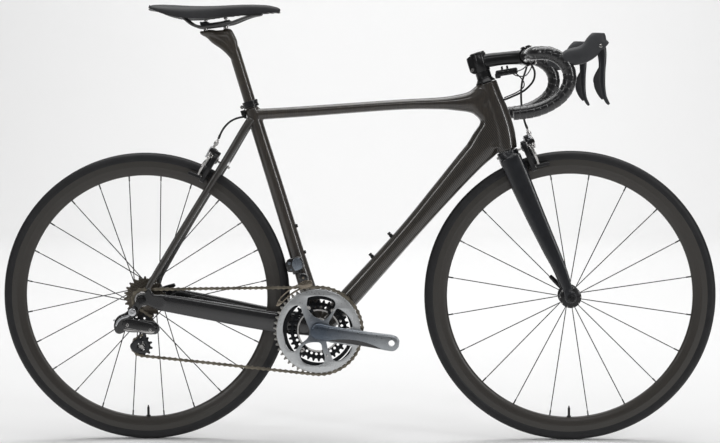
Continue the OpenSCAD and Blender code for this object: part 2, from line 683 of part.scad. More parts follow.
// A deep hollow rim: inner edge, flank, brake track and bed
module rim(axle) color([0.25, 0.22, 0.19]) across(axle) {
    out = rim_out_r;
    rotate_extrude($fn = 128) difference() {
        polygon([[rim_in_r, -4], [rim_in_r + 4, -7.2], [out - 16, -10.2], [out, -10.2],
            [out, -8.4], [out - 6, -8.4], [out - 7, -5], [out - 8, 0], [out - 7, 5],
            [out - 6, 8.4], [out, 8.4], [out, 10.2], [out - 16, 10.2],
            [rim_in_r + 4, 7.2], [rim_in_r, 4]]);
        polygon([[rim_in_r + 2.6, -3], [rim_in_r + 6, -5.4], [out - 16, -8.4], [out - 11, -8.4],
            [out - 9.6, 0], [out - 11, 8.4], [out - 16, 8.4], [rim_in_r + 6, 5.4],
            [rim_in_r + 2.6, 3]]);
    }
    // valve
    rotate([0, 0, -90]) translate([rim_in_r - 26, 0, 0]) rotate([0, 90, 0])
        cylinder(r = 3, h = 26.2, $fn = 32);
}

// A wire from one point to another
module wire(a, b, r) {
    v = b - a;
    translate(a) rotate([0, acos(v[2] / norm(v)), atan2(v[1], v[0])])
        cylinder(r = r, h = norm(v), $fn = 16);
}

// Radial spokes; drive side is local +Z
module front_spokes() color([0.1, 0.1, 0.1]) across(front_axle) {
    for (i = [0 : front_spoke_count - 1]) rotate([0, 0, 90 + 360 * (i + 0.5) / front_spoke_count]) {
        z = (i % 2 == 0 ? 1 : -1);
        wire([25.3, 0, z * 27], [rim_in_r + 1.2, 0, z * 1.5], 0.9);
        wire([rim_in_r - 13, 0, z * 2.8], [rim_in_r + 1.2, 0, z * 1.5], 1.7);
    }
}

// Tangential spokes, leading and trailing by turns
module rear_spokes() color([0.1, 0.1, 0.1]) across(rear_axle) {
    for (i = [0 : rear_spoke_count - 1]) rotate([0, 0, 90 + 360 * (i + 0.5) / rear_spoke_count]) {
        z = i % 2 == 0 ? 1 : -1;
        lead = floor(i / 2) % 2 == 0 ? 1 : -1;
        flange = z > 0 ? 19 : -34;
        turn = lead * 62;
        wire([26 * cos(turn), 26 * sin(turn), flange + lead * 1.6],
            [rim_in_r + 1.2, 0, z * 1.5], 0.9);
        wire([rim_in_r - 13, 0, z * 2.4], [rim_in_r + 1.2, 0, z * 1.5], 1.7);
    }
}

// Hub shell with flanges and its bearing rings
module front_hub() {
    color([0.07, 0.07, 0.07]) across(front_axle) rotate_extrude($fn = 64)
        polygon([[8.2, -48], [11, -48], [12.5, -38], [13, -31], [25, -29.5], [25, -24.5], [12, -22],
            [9.8, -12], [9.8, 12], [12, 22], [25, 24.5], [25, 29.5], [13, 31], [12.5, 38],
            [11, 48], [8.2, 48]]);
    color([0.5, 0.5, 0.5]) for (y = [-46, 38]) ring(front_axle, 8.1, 4.5 + fit, y, y + 8);
}

module rear_hub() {
    color([0.07, 0.07, 0.07]) across(rear_axle) rotate_extrude($fn = 64)
        polygon([[9.2, -62], [12, -62], [13.5, -42], [14, -38], [25, -36.5], [25, -31.5],
            [14, -29], [11.5, -12], [12, 12], [16, 16], [25.5, 17], [25.5, 21], [17, 21.8],
            [9.2, 21.8]]);
    color([0.5, 0.5, 0.5]) for (y = [-20, 52]) ring(rear_axle, 9.1, 5 + fit, y, y + 9);
}

module front_tyre() tyre(front_axle);
module rear_tyre() tyre(rear_axle);
module front_rim() rim(front_axle);
module rear_rim() rim(rear_axle);

// ---- drivetrain -----------------------------------------------------------------

function pitch_r(teeth) = pitch / (2 * sin(180 / teeth));

// Outline of a toothed wheel: each tooth is a short trapezoid between roller seats
module gear(teeth, bore_r, thick) linear_extrude(thick, center = true) difference() {
    r = pitch_r(teeth);
    polygon([for (i = [0 : teeth - 1], k = [0 : 3])
        let (a = 360 * (i + [0.26, 0.43, 0.57, 0.74][k]) / teeth,
             q = [r - 3.9, r + 3.4, r + 3.4, r - 3.9][k])
        [q * cos(a), q * sin(a)]]);
    circle(r = bore_r, $fn = 64);
}

// Eleven cogs on their driver, and the lock ring
module cassette() {
    color([0.32, 0.3, 0.27]) for (i = [0 : len(cogs) - 1])
        across(rear_axle, cog_y + i * cog_step) gear(cogs[i], 15.3, 1.6);
    color([0.25, 0.25, 0.25]) {
        ring(rear_axle, 15.2, 12, -62, -22.5);
        ring(rear_axle, 17.5, 8.5, -63.6, -62);
    }
    color([0.5, 0.5, 0.5]) ring(rear_axle, 11.9, 5 + fit, -60, -52);
}

// The arm and the spindle
module right_crank() color([0.6, 0.62, 0.65]) across(bb) difference() {
    union() {
        rotate([0, 0, crank_angle]) {
            hull() {
                translate([0, 0, 52]) cylinder(r = 19, h = 14, $fn = 32);
                translate([90, 0, 56]) cylinder(r = 11, h = 13, $fn = 32);
            }
            hull() {
                translate([88, 0, 56.2]) cylinder(r = 10.5, h = 12.6, $fn = 32);
                translate([crank_len, 0, 60.5]) cylinder(r = 16, h = 12.5, $fn = 32);
            }
        }
        translate([0, 0, -62]) cylinder(r = 12, h = 116, $fn = 48);
    }
    rotate([0, 0, crank_angle]) translate([crank_len, 0, 50]) {
        cylinder(r = 7.14, h = 40, $fn = 48);
        cylinder(r = 12, h = 10.5, $fn = 48);
    }
    translate([0, 0, -70]) cylinder(r = 10, h = 132, $fn = 48);
}

module left_crank() color([0.6, 0.62, 0.65]) across(bb) difference() {
    union() {
        rotate([0, 0, crank_angle + 180]) {
            hull() {
                translate([0, 0, -64]) cylinder(r = 18, h = 18, $fn = 32);
                translate([90, 0, -69]) cylinder(r = 11, h = 13, $fn = 32);
            }
            hull() {
                translate([90, 0, -69]) cylinder(r = 11, h = 13, $fn = 32);
                translate([crank_len, 0, -73]) cylinder(r = 16, h = 12.5, $fn = 32);
            }
        }
        translate([0, 0, -66]) cylinder(r = 13, h = 3, $fn = 48);
    }
    rotate([0, 0, crank_angle + 180]) translate([crank_len, 0, -90]) {
        cylinder(r = 7.14, h = 40, $fn = 48);
        translate([0, 0, 29.5]) cylinder(r = 12, h = 10, $fn = 48);
    }
    translate([0, 0, -62.2]) cylinder(r = 12.01, h = 30, $fn = 48);
}

// Large and small rings with the four-armed spider and the bolts that join them to it
module chainrings() {
    color([0.55, 0.57, 0.6]) across(bb) difference() {
        union() {
            translate([0, 0, 47.7]) cylinder(r = 21, h = 4.1, $fn = 48);
            for (a = [63.5, 135, -135, -63.5]) rotate([0, 0, crank_angle + a]) hull() {
                translate([10, 0, 47.7]) cylinder(r = 9, h = 4, $fn = 32);
                translate([58, 0, 47.7]) cylinder(r = 7, h = 4, $fn = 32);
            }
        }
        translate([0, 0, 40]) cylinder(r = 12 + fit, h = 20, $fn = 48);
    }
    color([0.62, 0.63, 0.65]) across(bb, ring_y) rotate([0, 0, 360 / big_teeth * 0.25]) difference() {
        gear(big_teeth, 52, 2);
        for (a = [0 : 4]) rotate([0, 0, crank_angle + [31, 99, 180, -99, -31][a]])
            translate([69, 0, -5]) cylinder(r = [15, 20, 20, 20, 15][a], h = 10, $fn = 48);
    }
    color([0.3, 0.3, 0.3]) across(bb, small_ring_y) gear(small_teeth, 46, 1.9);
    color([0.4, 0.4, 0.4]) across(bb) for (a = [63.5, 135, -135, -63.5])
        rotate([0, 0, crank_angle + a]) translate([57, 0, 41.6]) cylinder(r = 4.5, h = 3.8, $fn = 32);
}

// Circles the chain runs round, in its direction of travel: [centre, radius, y, lead].
// A negative radius is a wheel that the chain passes on its other side.
// The chain stays in the wheel's plane for the lead before and after its arc.
chain_wheels = [[rear_axle, pitch_r(cogs[0]), cog_y, 16], [bb, pitch_r(big_teeth), ring_y, 40],
    [tension_c, pulley_r, cog_y, 0], [guide_c, -pulley_r, cog_y, 0]];

// Direction of the straight run from one wheel to the next
function run_angle(a, b) = let (d = b[0] - a[0])
    atan2(d[1], d[0]) - asin((a[1] - b[1]) / norm(d));
function turn_steps(w) = w[1] > 50 ? 18 : 7;

// Points where the chain wraps wheel i
function wrap(i) = let (w = chain_wheels[i], n = len(chain_wheels),
        a0 = run_angle(chain_wheels[(i + n - 1) % n], w),
        a1 = run_angle(w, chain_wheels[(i + 1) % n]),
        s = sign(w[1]), raw = s * (a0 - a1), sweep = raw - 360 * floor(raw / 360),
        m = turn_steps(w), arc = [for (k = [0 : m]) let (a = a0 - s * sweep * k / m)
            [w[0][0] - w[1] * sin(a), w[2], w[0][1] + w[1] * cos(a)]])
    w[3] == 0 ? arc : concat([arc[0] - w[3] * [cos(a0), 0, sin(a0)]], arc,
        [arc[m] + w[3] * [cos(a1), 0, sin(a1)]]);
chain_loop = [for (i = [0 : len(chain_wheels) - 1]) each wrap(i)];

// One row of side plates: a flat band that follows the loop beside the teeth
module plate_band(shift, thick) {
    m = len(chain_loop);
    points = [for (i = [0 : m - 1]) let (p = chain_loop[i],
            t = unit(chain_loop[(i + 1) % m] - chain_loop[(i + m - 1) % m]),
            v = 3.6 * unit([-t[2], 0, t[0]]))
        each [p + v + [0, shift, 0], p + v + [0, shift + thick, 0],
              p - v + [0, shift + thick, 0], p - v + [0, shift, 0]]];
    polyhedron(points, [for (i = [0 : m - 1], k = [0 : 3]) let (j = (i + 1) % m)
        [i * 4 + k, i * 4 + (k + 1) % 4, j * 4 + (k + 1) % 4, j * 4 + k]], convexity = 8);
}

module chain() color([0.35, 0.32, 0.27]) {
    plate_band(1.35, 1);
    plate_band(-2.35, 1);
}

// The link's two ends, seen from the side: [x, z]
link_front = [-521, 279];
link_rear = [-469, 267];

link_y = -85.8;

// Turns +Z on to the axis of the link's pivot at p
module on_link_pivot(p) translate([p[0], link_y, p[1]]) rotate([0, 13, 0])
    rotate([-36.87, 0, 0]) children();

// Upper knuckle with its motor housing, bolted to the hanger
module rear_derailleur_mount() {
    color([0.3, 0.31, 0.33]) difference() {
        union() {
            rod(hanger_c, 11, -83, -72.3);
            hull() {
                rod([-533, 288], 9, -82, -72.3);
                rod([-543, 272], 11, -80, -66);
            }
            hull() {
                rod([-513, 302], 8, -82, -73);
                rod([-532, 291], 8, -82, -73);
            }
        }
        rod(hanger_c, 5 + fit, -90, -60);
    }
    color([0.6, 0.6, 0.6]) {
        rod(hanger_c, 5, -84, -64);
        rod(hanger_c, 9, -87, -83.2);
    }
}

// The parallelogram's links, drawn as one body
module rear_derailleur_links() color([0.2, 0.2, 0.21]) {
    translate([(link_front[0] + link_rear[0]) / 2, link_y, (link_front[1] + link_rear[1]) / 2])
        rotate([0, 13, 0]) cube([52, 4.4, 14], center = true);
    on_link_pivot(link_front) cylinder(r = 3, h = 10, center = true, $fn = 32);
}

// The knuckle at the links' far end, which holds the cage
module rear_derailleur_knuckle() color([0.25, 0.25, 0.27]) difference() {
    hull() {
        rod([-472, 268], 9, -82.8, -71);
        rod(guide_c, 8, -78, -71);
    }
    on_link_pivot(link_rear) cylinder(r = 1.6, h = 60, center = true, $fn = 32);
}

// The cage that carries the two pulleys
module rear_derailleur_cage() color([0.07, 0.07, 0.07]) {
    difference() {
        union() for (y = [-56.6, -65.4]) hull() {
            rod(guide_c, 11, y - 0.6, y + 0.6);
            rod(tension_c, 15, y - 0.6, y + 0.6);
        }
        for (c = [guide_c, tension_c]) rod(c, 3.9, -72, -50);
    }
    for (c = [guide_c, tension_c]) rod(c, 3.8, -65.95, -56);
    rod(guide_c, 5, -70.6, -66.1);
}

module pulley(c) color([0.1, 0.1, 0.1]) across(c, cog_y) gear(11, 3.8 + fit, 2);
module guide_pulley() pulley(guide_c);
module tension_pulley() pulley(tension_c);

// Body of the front derailleur on its braze-on bracket
module front_derailleur_mount() color([0.12, 0.12, 0.13]) {
    translate([-141, -34, 412]) rotate([0, -seat_lean, 0]) cube([40, 18, 34], center = true);
    translate([-141, -22.4, 404]) rotate([0, -seat_lean, 0]) cube([20, 6, 30], center = true);
}

// The cage: two plates over the large ring, joined by a bridge
module front_derailleur_cage() color([0.55, 0.5, 0.45]) difference() {
    union() {
        for (y = [-52.6, -40.6]) across(bb, y) rotate_extrude_arc(103.5, 118, 1.2, 93, 140);
        across(bb, -46.6) rotate_extrude_arc(114, 118, 12, 93, 104);
        translate([-121, -43, 384]) cube([16, 14, 16], center = true);
    }
    across(bb, 0) cylinder(r = 108, h = 200, center = true, $fn = 96);
}

// A flat arc of a ring between two radii and two angles
module rotate_extrude_arc(r0, r1, thick, a0, a1) rotate([0, 0, a0])
    rotate_extrude(angle = a1 - a0, $fn = 96) translate([r0, -thick / 2]) square([r1 - r0, thick]);

front_triangle();
chainstays();
seatstays();
seat_collar();
bottle_bolts();
headset_bearings();
bottom_bracket();
rear_brake_housing();
rear_skewer();
rear_qr_lever();
seatpost();
seat_clamp();
battery();
saddle_shell();
saddle_cover();
saddle_rails();
fork();
steerer_tube();
headset_covers();
stem();
stem_faceplate();
stem_bolts();
handlebar();
bar_tape();
lever_hoods();
front_brake_housing();
steering_lines();
front_skewer();
front_qr_lever();
brake_lever_right();
brake_lever_left();
right_upper_button();
right_lower_button();
left_upper_button();
left_lower_button();
front_brake_inner_arm();
front_brake_outer_arm();
rear_brake_inner_arm();
rear_brake_outer_arm();
front_tyre();
front_rim();
front_spokes();
front_hub();
rear_tyre();
rear_rim();
rear_spokes();
rear_hub();
cassette();
right_crank();
chainrings();
left_crank();
chain();
rear_derailleur_mount();
rear_derailleur_links();
rear_derailleur_knuckle();
rear_derailleur_cage();
guide_pulley();
tension_pulley();
front_derailleur_mount();
front_derailleur_cage();
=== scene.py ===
import bpy, bmesh, math
import numpy as np
from mathutils import Matrix, Vector


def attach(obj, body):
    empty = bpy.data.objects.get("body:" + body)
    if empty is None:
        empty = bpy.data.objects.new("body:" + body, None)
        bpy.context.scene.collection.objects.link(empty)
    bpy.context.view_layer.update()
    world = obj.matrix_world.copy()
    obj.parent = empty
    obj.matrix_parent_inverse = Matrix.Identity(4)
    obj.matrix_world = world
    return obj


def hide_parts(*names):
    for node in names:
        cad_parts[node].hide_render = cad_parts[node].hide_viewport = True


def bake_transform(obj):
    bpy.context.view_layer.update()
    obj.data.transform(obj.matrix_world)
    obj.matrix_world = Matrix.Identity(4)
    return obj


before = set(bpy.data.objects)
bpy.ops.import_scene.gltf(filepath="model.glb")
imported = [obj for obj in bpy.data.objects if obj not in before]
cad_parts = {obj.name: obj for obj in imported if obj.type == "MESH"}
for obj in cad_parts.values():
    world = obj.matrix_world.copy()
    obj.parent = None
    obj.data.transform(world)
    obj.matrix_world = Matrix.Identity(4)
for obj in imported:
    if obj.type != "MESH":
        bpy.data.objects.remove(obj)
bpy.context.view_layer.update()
D = math.radians

# ---------------------------------------------------------------- places, in mm
REAR, FRONT, BB = (-491, 335), (491, 335), (-87, 260)
GUIDE, TENSION, HANGER = (-489, 280), (-493, 227), (-510, 308)
RING_Y, SMALL_Y, COG_Y, COG_STEP = -46.5, -40.5, -60.5, 3.72
COGS = (11, 12, 13, 14, 15, 16, 17, 18, 19, 21, 23)
LEAN, SEAT, CRANK = 17.0, 16.7, -8.5           # head tube, seat tube and right crank, in degrees
TYRE_RING, TYRE_R = 322.5, 12.5                # centre line and section of the tyres
HOOD_Y = 205                                   # half the distance between the hoods
LINK = 12.7                                    # the chain's pitch
SADDLE_CROWN = 1.8
BRAKE_BOLT = 357                               # from the axle, along the wheel's radius
EYE = (0.1509, -3.6546, 0.7591)                # the camera, in metres
TURN = 6.283


def vec(*a):
    """Numbers as an array."""
    return np.array(a, float)


def unit(v):
    """The vector at length one."""
    return v / max(np.linalg.norm(v), 1e-9)


def pitch_r(n):
    """Pitch radius of a chain wheel with n teeth."""
    return LINK / (2 * math.sin(math.pi / n))


def catmull(points, step=4):
    """A smooth run of points through the given ones (any number of columns)."""
    p = np.array(points, float)
    ext = np.vstack([2 * p[0] - p[1], p, 2 * p[-1] - p[-2]])
    out = []
    for i in range(1, len(ext) - 2):
        a, b, c, d = ext[i - 1:i + 3]
        for k in range(step):
            t = k / step
            out.append(0.5 * (2 * b + (c - a) * t + (2 * a - 5 * b + 4 * c - d) * t * t
                              + (3 * b - a - 3 * c + d) * t ** 3))
    out.append(p[-1])
    return np.array(out)


def place(origin=(0, 0, 0), z=(0, 0, 1), x=None):
    """A matrix whose local Z runs along z, and local X as near x as it can."""
    z = unit(vec(*z))
    x = vec(*x) if x is not None else (vec(1, 0, 0) if abs(z[0]) < 0.9 else vec(0, 1, 0))
    x = unit(x - z * x.dot(z))
    y = np.cross(z, x)
    m = np.eye(4)
    m[:3, 0], m[:3, 1], m[:3, 2], m[:3, 3] = x, y, z, origin
    return m


def across(p, y=0.0, angle=0.0):
    """Local +Z to the drive side, local +Y up, turned by angle in the side view."""
    a = D(angle)
    return place((p[0], y, p[1]), (0, -1, 0), (math.cos(a), 0, math.sin(a)))


class Part:
    """Gathers shapes in mm, then becomes one object."""

    def __init__(self):
        self.v, self.f, self.m, self.n = [], [], [], 0

    def add(self, v, f, mat=0, at=None):
        """Adds points and faces, moved by a matrix."""
        v = np.array(v, float)
        if at is not None:
            v = v @ at[:3, :3].T + at[:3, 3]
            if np.linalg.det(at[:3, :3]) < 0:
                f = [tuple(reversed(q)) for q in f]
        self.v.append(v)
        self.f += [tuple(i + self.n for i in q) for q in f]
        self.m += [mat] * len(f)
        self.n += len(v)
        return self

    def rings(self, rings, mat=0, closed=False, caps=True, at=None):
        """Skins a run of equal rings of points."""
        m, n = len(rings), len(rings[0])
        v = np.vstack(rings)
        f = []
        for i in range(m if closed else m - 1):
            j = (i + 1) % m
            f += [(i * n + k, i * n + (k + 1) % n, j * n + (k + 1) % n, j * n + k) for k in range(n)]
        if caps and not closed:
            f += [tuple(reversed(range(n))), tuple((m - 1) * n + k for k in range(n))]
        return self.add(v, f, mat, at)

    def lathe(self, profile, mat=0, at=None, n=64, closed=False):
        """Turns (radius, height) points about local Z."""
        a = np.arange(n) * 2 * math.pi / n
        rings = [np.stack([r * np.cos(a), r * np.sin(a), np.full(n, h)], 1) for r, h in profile]
        return self.rings(rings, mat, closed, not closed, at)

    def sweep(self, path, r, mat=0, n=16, flat=1.0, up=None, closed=False):
        """A tube along a path; r is one radius or one for each point; flat scales its second axis."""
        p = np.array(path, float)
        r = np.broadcast_to(np.array(r, float), (len(p),)).copy()
        m = len(p)
        nxt, prv = (np.roll(p, -1, 0), np.roll(p, 1, 0)) if closed else \
            (np.vstack([p[1:], p[-1:]]), np.vstack([p[:1], p[:-1]]))
        tan = [unit(nxt[i] - prv[i]) for i in range(m)]
        u = vec(*up) if up is not None else (vec(0, 1, 0) if abs(tan[0][1]) < 0.9 else vec(1, 0, 0))
        rings = []
        a = np.arange(n) * 2 * math.pi / n
        for i in range(m):
            base = vec(*up) if up is not None else u
            u = unit(base - tan[i] * base.dot(tan[i]))
            w = np.cross(tan[i], u)
            rings.append(p[i] + r[i] * (np.cos(a)[:, None] * u + flat * np.sin(a)[:, None] * w))
        return self.rings(rings, mat, closed)

    def loft(self, sections, mat=0, n=48, power=2.0, step=8, mirror=False):
        """Sections [x, y, z, run direction, depth, width] in the side view, smoothly joined."""
        a = np.arange(n) * 2 * math.pi / n
        c, s = np.cos(a), np.sin(a)
        c, s = np.sign(c) * abs(c) ** (2 / power), np.sign(s) * abs(s) ** (2 / power)
        rings = []
        for x, y, z, d, dep, wid in catmull(sections, step):
            up = vec(-math.sin(D(d)), 0, math.cos(D(d)))
            rings.append(vec(x, -y if mirror else y, z) + c[:, None] * up * dep / 2
                         + s[:, None] * vec(0, -1 if mirror else 1, 0) * wid / 2)
        return self.rings(rings, mat)

    def plate(self, outline, thick, mat=0, at=None, holes=(), bevel=0.4, res=2):
        """A flat plate from outlines in local XY, centred on local Z = 0, with rounded edges."""
        cu = bpy.data.curves.new("t", "CURVE")
        cu.dimensions, cu.fill_mode = "2D", "BOTH"
        b = min(bevel, thick * 0.45)
        cu.extrude, cu.bevel_depth, cu.bevel_resolution, cu.offset = thick / 2 - b, b, res, -b
        for pts in [outline, *holes]:
            sp = cu.splines.new("POLY")
            sp.points.add(len(pts) - 1)
            sp.use_cyclic_u = True
            for q, p in zip(sp.points, pts):
                q.co = (p[0], p[1], 0, 1)
        ob = bpy.data.objects.new("t", cu)
        bpy.context.collection.objects.link(ob)
        me = ob.evaluated_get(bpy.context.evaluated_depsgraph_get()).to_mesh()
        v = [tuple(q.co) for q in me.vertices]
        f = [tuple(q.vertices) for q in me.polygons]
        ob.to_mesh_clear()
        bpy.data.objects.remove(ob)
        bpy.data.curves.remove(cu)
        return self.add(v, f, mat, at)

    def box(self, size, mat=0, at=None, round_=1.0):
        """A box with rounded corners, centred on its matrix."""
        x, y, z = size[0] / 2, size[1] / 2, size[2]
        r = min(round_, x * 0.95, y * 0.95)
        pts = [(sx * (x - r) + r * math.cos(t), sy * (y - r) + r * math.sin(t))
               for sx, sy, t0 in ((1, 1, 0), (-1, 1, 90), (-1, -1, 180), (1, -1, 270))
               for t in [D(t0 + k * 22.5) for k in range(5)]]
        return self.plate(pts, z, mat, at, bevel=min(r, z * 0.4))

    def done(self, name, body, mats, replaces=(), remesh=0, relax=0, smooth=35):
        """Makes the mesh, smooths it and puts it on its body."""
        me = bpy.data.meshes.new(name)
        me.from_pydata((np.vstack(self.v) * 0.001).tolist(), [], self.f)
        for i, p in enumerate(me.polygons):
            p.material_index = self.m[i]
        me.validate()
        ob = bpy.data.objects.new(name, me)
        bpy.context.collection.objects.link(ob)
        for m in mats:
            me.materials.append(m)
        bm = bmesh.new()
        bm.from_mesh(me)
        bmesh.ops.remove_doubles(bm, verts=bm.verts, dist=1e-7)
        bm.to_mesh(me)
        bm.free()
        mods = []
        if remesh:
            r = ob.modifiers.new("r", "REMESH")
            r.mode, r.voxel_size = "VOXEL", remesh * 0.001
            mods.append(r)
        if relax:
            s = ob.modifiers.new("s", "SMOOTH")
            s.factor, s.iterations = 0.5, relax
            mods.append(s)
        if mods:
            new = bpy.data.meshes.new_from_object(ob.evaluated_get(bpy.context.evaluated_depsgraph_get()))
            ob.modifiers.clear()
            ob.data = new
            new.name = name
            if not new.materials:
                new.materials.append(mats[0])
        for p in ob.data.polygons:
            p.use_smooth = True
        if not remesh:
            ob.data.set_sharp_from_angle(angle=D(smooth))
        if body:
            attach(ob, body)
        if replaces:
            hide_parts(*replaces)
        return ob


# ---------------------------------------------------------------- materials

def material(name, color, rough, metal=0.0, **sockets):
    """A plain shader that the other makers build on."""
    m = bpy.data.materials.new(name)
    m.use_nodes = True
    b = m.node_tree.nodes["Principled BSDF"]
    b.inputs["Base Color"].default_value = (*color, 1)
    b.inputs["Roughness"].default_value = rough
    b.inputs["Metallic"].default_value = metal
    for k, v in sockets.items():
        b.inputs[k.replace("_", " ")].default_value = v
    return m


class Nodes:
    """Short calls for a material's node tree."""

    def __init__(self, m):
        self.t, self.m = m.node_tree, m
        self.b = self.t.nodes["Principled BSDF"]
        self.co = self.t.nodes.new("ShaderNodeTexCoord").outputs["Object"]

    def new(self, kind, **kw):
        """Adds a node."""
        n = self.t.nodes.new("ShaderNode" + kind)
        for k, v in kw.items():
            if k in n.inputs:
                self.put(n.inputs[k], v)
            else:
                setattr(n, k, v)
        return n

    def put(self, socket, v):
        """Links or sets a socket."""
        if isinstance(v, bpy.types.NodeSocket):
            self.t.links.new(v, socket)
        else:
            socket.default_value = v

    def turned(self, rot=(0, 0, 0), scale=(1, 1, 1)):
        """Coordinates turned and stretched."""
        n = self.new("Mapping")
        self.put(n.inputs["Vector"], self.co)
        n.inputs["Rotation"].default_value = [D(a) for a in rot]
        n.inputs["Scale"].default_value = scale
        return n.outputs[0]

    def noise(self, scale, detail=3, rough=0.5, at=None):
        """Cloudy noise from 0 to 1."""
        n = self.new("TexNoise")
        self.put(n.inputs["Vector"], at or self.co)
        n.inputs["Scale"].default_value = scale
        n.inputs["Detail"].default_value = detail
        n.inputs["Roughness"].default_value = rough
        return n.outputs["Fac"]

    def wave(self, scale, at=None, distort=0.0, axis="X"):
        """Even bands from 0 to 1."""
        n = self.new("TexWave", bands_direction=axis)
        self.put(n.inputs["Vector"], at or self.co)
        n.inputs["Scale"].default_value = scale
        n.inputs["Distortion"].default_value = distort
        return n.outputs["Fac"]

    def math(self, op, a, b=0.0, c=0.0):
        """One arithmetic node."""
        n = self.new("Math", operation=op)
        for s, v in zip(n.inputs, (a, b, c)):
            self.put(s, v)
        return n.outputs[0]

    def ramp(self, fac, lo, hi, a=0.0, b=1.0):
        """Maps lo to hi onto a to b."""
        n = self.new("MapRange")
        self.put(n.inputs["Value"], fac)
        for k, v in (("From Min", lo), ("From Max", hi), ("To Min", a), ("To Max", b)):
            n.inputs[k].default_value = v
        return n.outputs[0]

    def mix(self, fac, a, b):
        """Mixes two colours."""
        n = self.new("Mix", data_type="RGBA")
        self.put(n.inputs["Factor"], fac)
        for s, v in ((n.inputs[6], a), (n.inputs[7], b)):
            self.put(s, v if isinstance(v, bpy.types.NodeSocket) else (*v, 1))
        return n.outputs[2]

    def bump(self, height, strength, dist=0.0002):
        """Raises the surface by a height."""
        n = self.new("Bump")
        self.put(n.inputs["Height"], height)
        n.inputs["Strength"].default_value = strength
        n.inputs["Distance"].default_value = dist
        self.put(self.b.inputs["Normal"], n.outputs[0])

    def color(self, c):
        """Sets the base colour."""
        self.put(self.b.inputs["Base Color"], c)

    def rough(self, r):
        """Sets the roughness."""
        self.put(self.b.inputs["Roughness"], r)

    def polar(self, centre):
        """Distance from an axle that lies along Y, then the steps along X and Z from it."""
        s = self.new("SeparateXYZ")
        self.put(s.inputs[0], self.co)
        dx = self.math("SUBTRACT", s.outputs[0], centre[0] * 0.001)
        dz = self.math("SUBTRACT", s.outputs[2], centre[1] * 0.001)
        square = self.math("ADD", self.math("MULTIPLY", dx, dx), self.math("MULTIPLY", dz, dz))
        return self.math("SQRT", square), dx, dz


def carbon(name, dark, light, direction, ribs=380.0, coat=1.0, rough=0.3):
    """Ribbed carbon under lacquer; direction is the angle of the ribs' normal in the side view."""
    m = material(name, dark, rough, 0.0, Coat_Weight=coat, Coat_Roughness=0.04, Specular_IOR_Level=0.5)
    n = Nodes(m)
    v = n.turned(rot=(0, direction, 0))
    rib = n.wave(ribs / TURN, at=v)
    tow = n.noise(9, 3, at=n.turned(rot=(0, direction, 0), scale=(60, 4, 4)))
    cloud = n.noise(14, 2)
    fac = n.math("MULTIPLY", n.ramp(rib, 0.45, 0.95), n.ramp(tow, 0.3, 0.75, 0.45, 1.0))
    fac = n.math("MULTIPLY", fac, n.ramp(cloud, 0.3, 0.75, 0.55, 1.0))
    n.color(n.mix(fac, dark, light))
    n.rough(n.ramp(rib, 0.2, 0.9, rough + 0.18, rough))
    n.bump(rib, 0.4, 0.0002)
    return m


def around(color, spread):
    """A darker and a lighter shade of a colour."""
    return [c * (1 - spread) for c in color], [min(1, c * (1 + spread)) for c in color]


def satin(name, color, rough=0.42, metal=0.0, grain=700.0, depth=0.12, coat=0.0, spread=0.25, **kw):
    """Painted or anodised metal: fine grain, slight clouding and rubbed roughness."""
    m = material(name, color, rough, metal, Coat_Weight=coat, Coat_Roughness=0.12, **kw)
    n = Nodes(m)
    cloud = n.noise(35, 4)
    lo, hi = around(color, spread)
    n.color(n.mix(n.ramp(cloud, 0.3, 0.7), lo, hi))
    fine = n.noise(grain * 3, 2)
    n.rough(n.ramp(n.noise(90, 5, 0.6), 0.3, 0.7, rough * 0.85, min(1, rough * 1.2)))
    n.bump(fine, depth, 0.00005)
    return m


def brushed(name, color, rough=0.3, stretch=(4, 900, 4), depth=0.15, spread=0.2):
    """Metal with fine straight lines."""
    m = material(name, color, rough, 1.0)
    n = Nodes(m)
    line = n.noise(1.0, 4, 0.6, at=n.turned(scale=stretch))
    cloud = n.noise(40, 3)
    lo, hi = around(color, spread)
    n.color(n.mix(n.math("MULTIPLY", n.ramp(line, 0.3, 0.7, 0.6, 1.0), n.ramp(cloud, 0.3, 0.7, 0.6, 1.0)),
            lo, hi))
    n.rough(n.ramp(line, 0.3, 0.7, rough * 0.8, rough * 1.3))
    n.bump(line, depth, 0.00004)
    return m


def turned_metal(name, color, rough, centre, rings=2500.0, spread=0.15):
    """Metal with fine circular lines about an axle that lies along Y."""
    m = material(name, color, rough, 1.0)
    n = Nodes(m)
    r = n.polar(centre)[0]
    c = n.new("CombineXYZ")
    n.put(c.inputs[0], n.math("MULTIPLY", r, rings))
    line = n.noise(1.0, 2, 0.5, at=c.outputs[0])
    lo, hi = around(color, spread)
    n.color(n.mix(n.ramp(line, 0.3, 0.7), lo, hi))
    n.rough(n.ramp(line, 0.3, 0.7, rough * 0.8, rough * 1.25))
    n.bump(line, 0.12, 0.00004)
    return m


def rubbery(name, color, rough=0.75, cell=1500.0, depth=0.35, dust=0.35):
    """Rubber or moulded plastic: fine cells, dust and soft roughness."""
    m = material(name, color, rough, 0.0, Specular_IOR_Level=0.35)
    n = Nodes(m)
    v = n.new("TexVoronoi")
    n.put(v.inputs["Vector"], n.co)
    v.inputs["Scale"].default_value = cell
    cloud = n.noise(28, 5, 0.6)
    hi = [min(1, c * (1 + dust) + 0.004) for c in color]
    n.color(n.mix(n.ramp(cloud, 0.35, 0.75), color, hi))
    n.rough(n.ramp(cloud, 0.3, 0.7, rough * 0.9, min(1, rough * 1.12)))
    n.bump(n.math("ADD", v.outputs["Distance"], n.noise(cell * 1.5, 2)), depth, 0.00008)
    return m


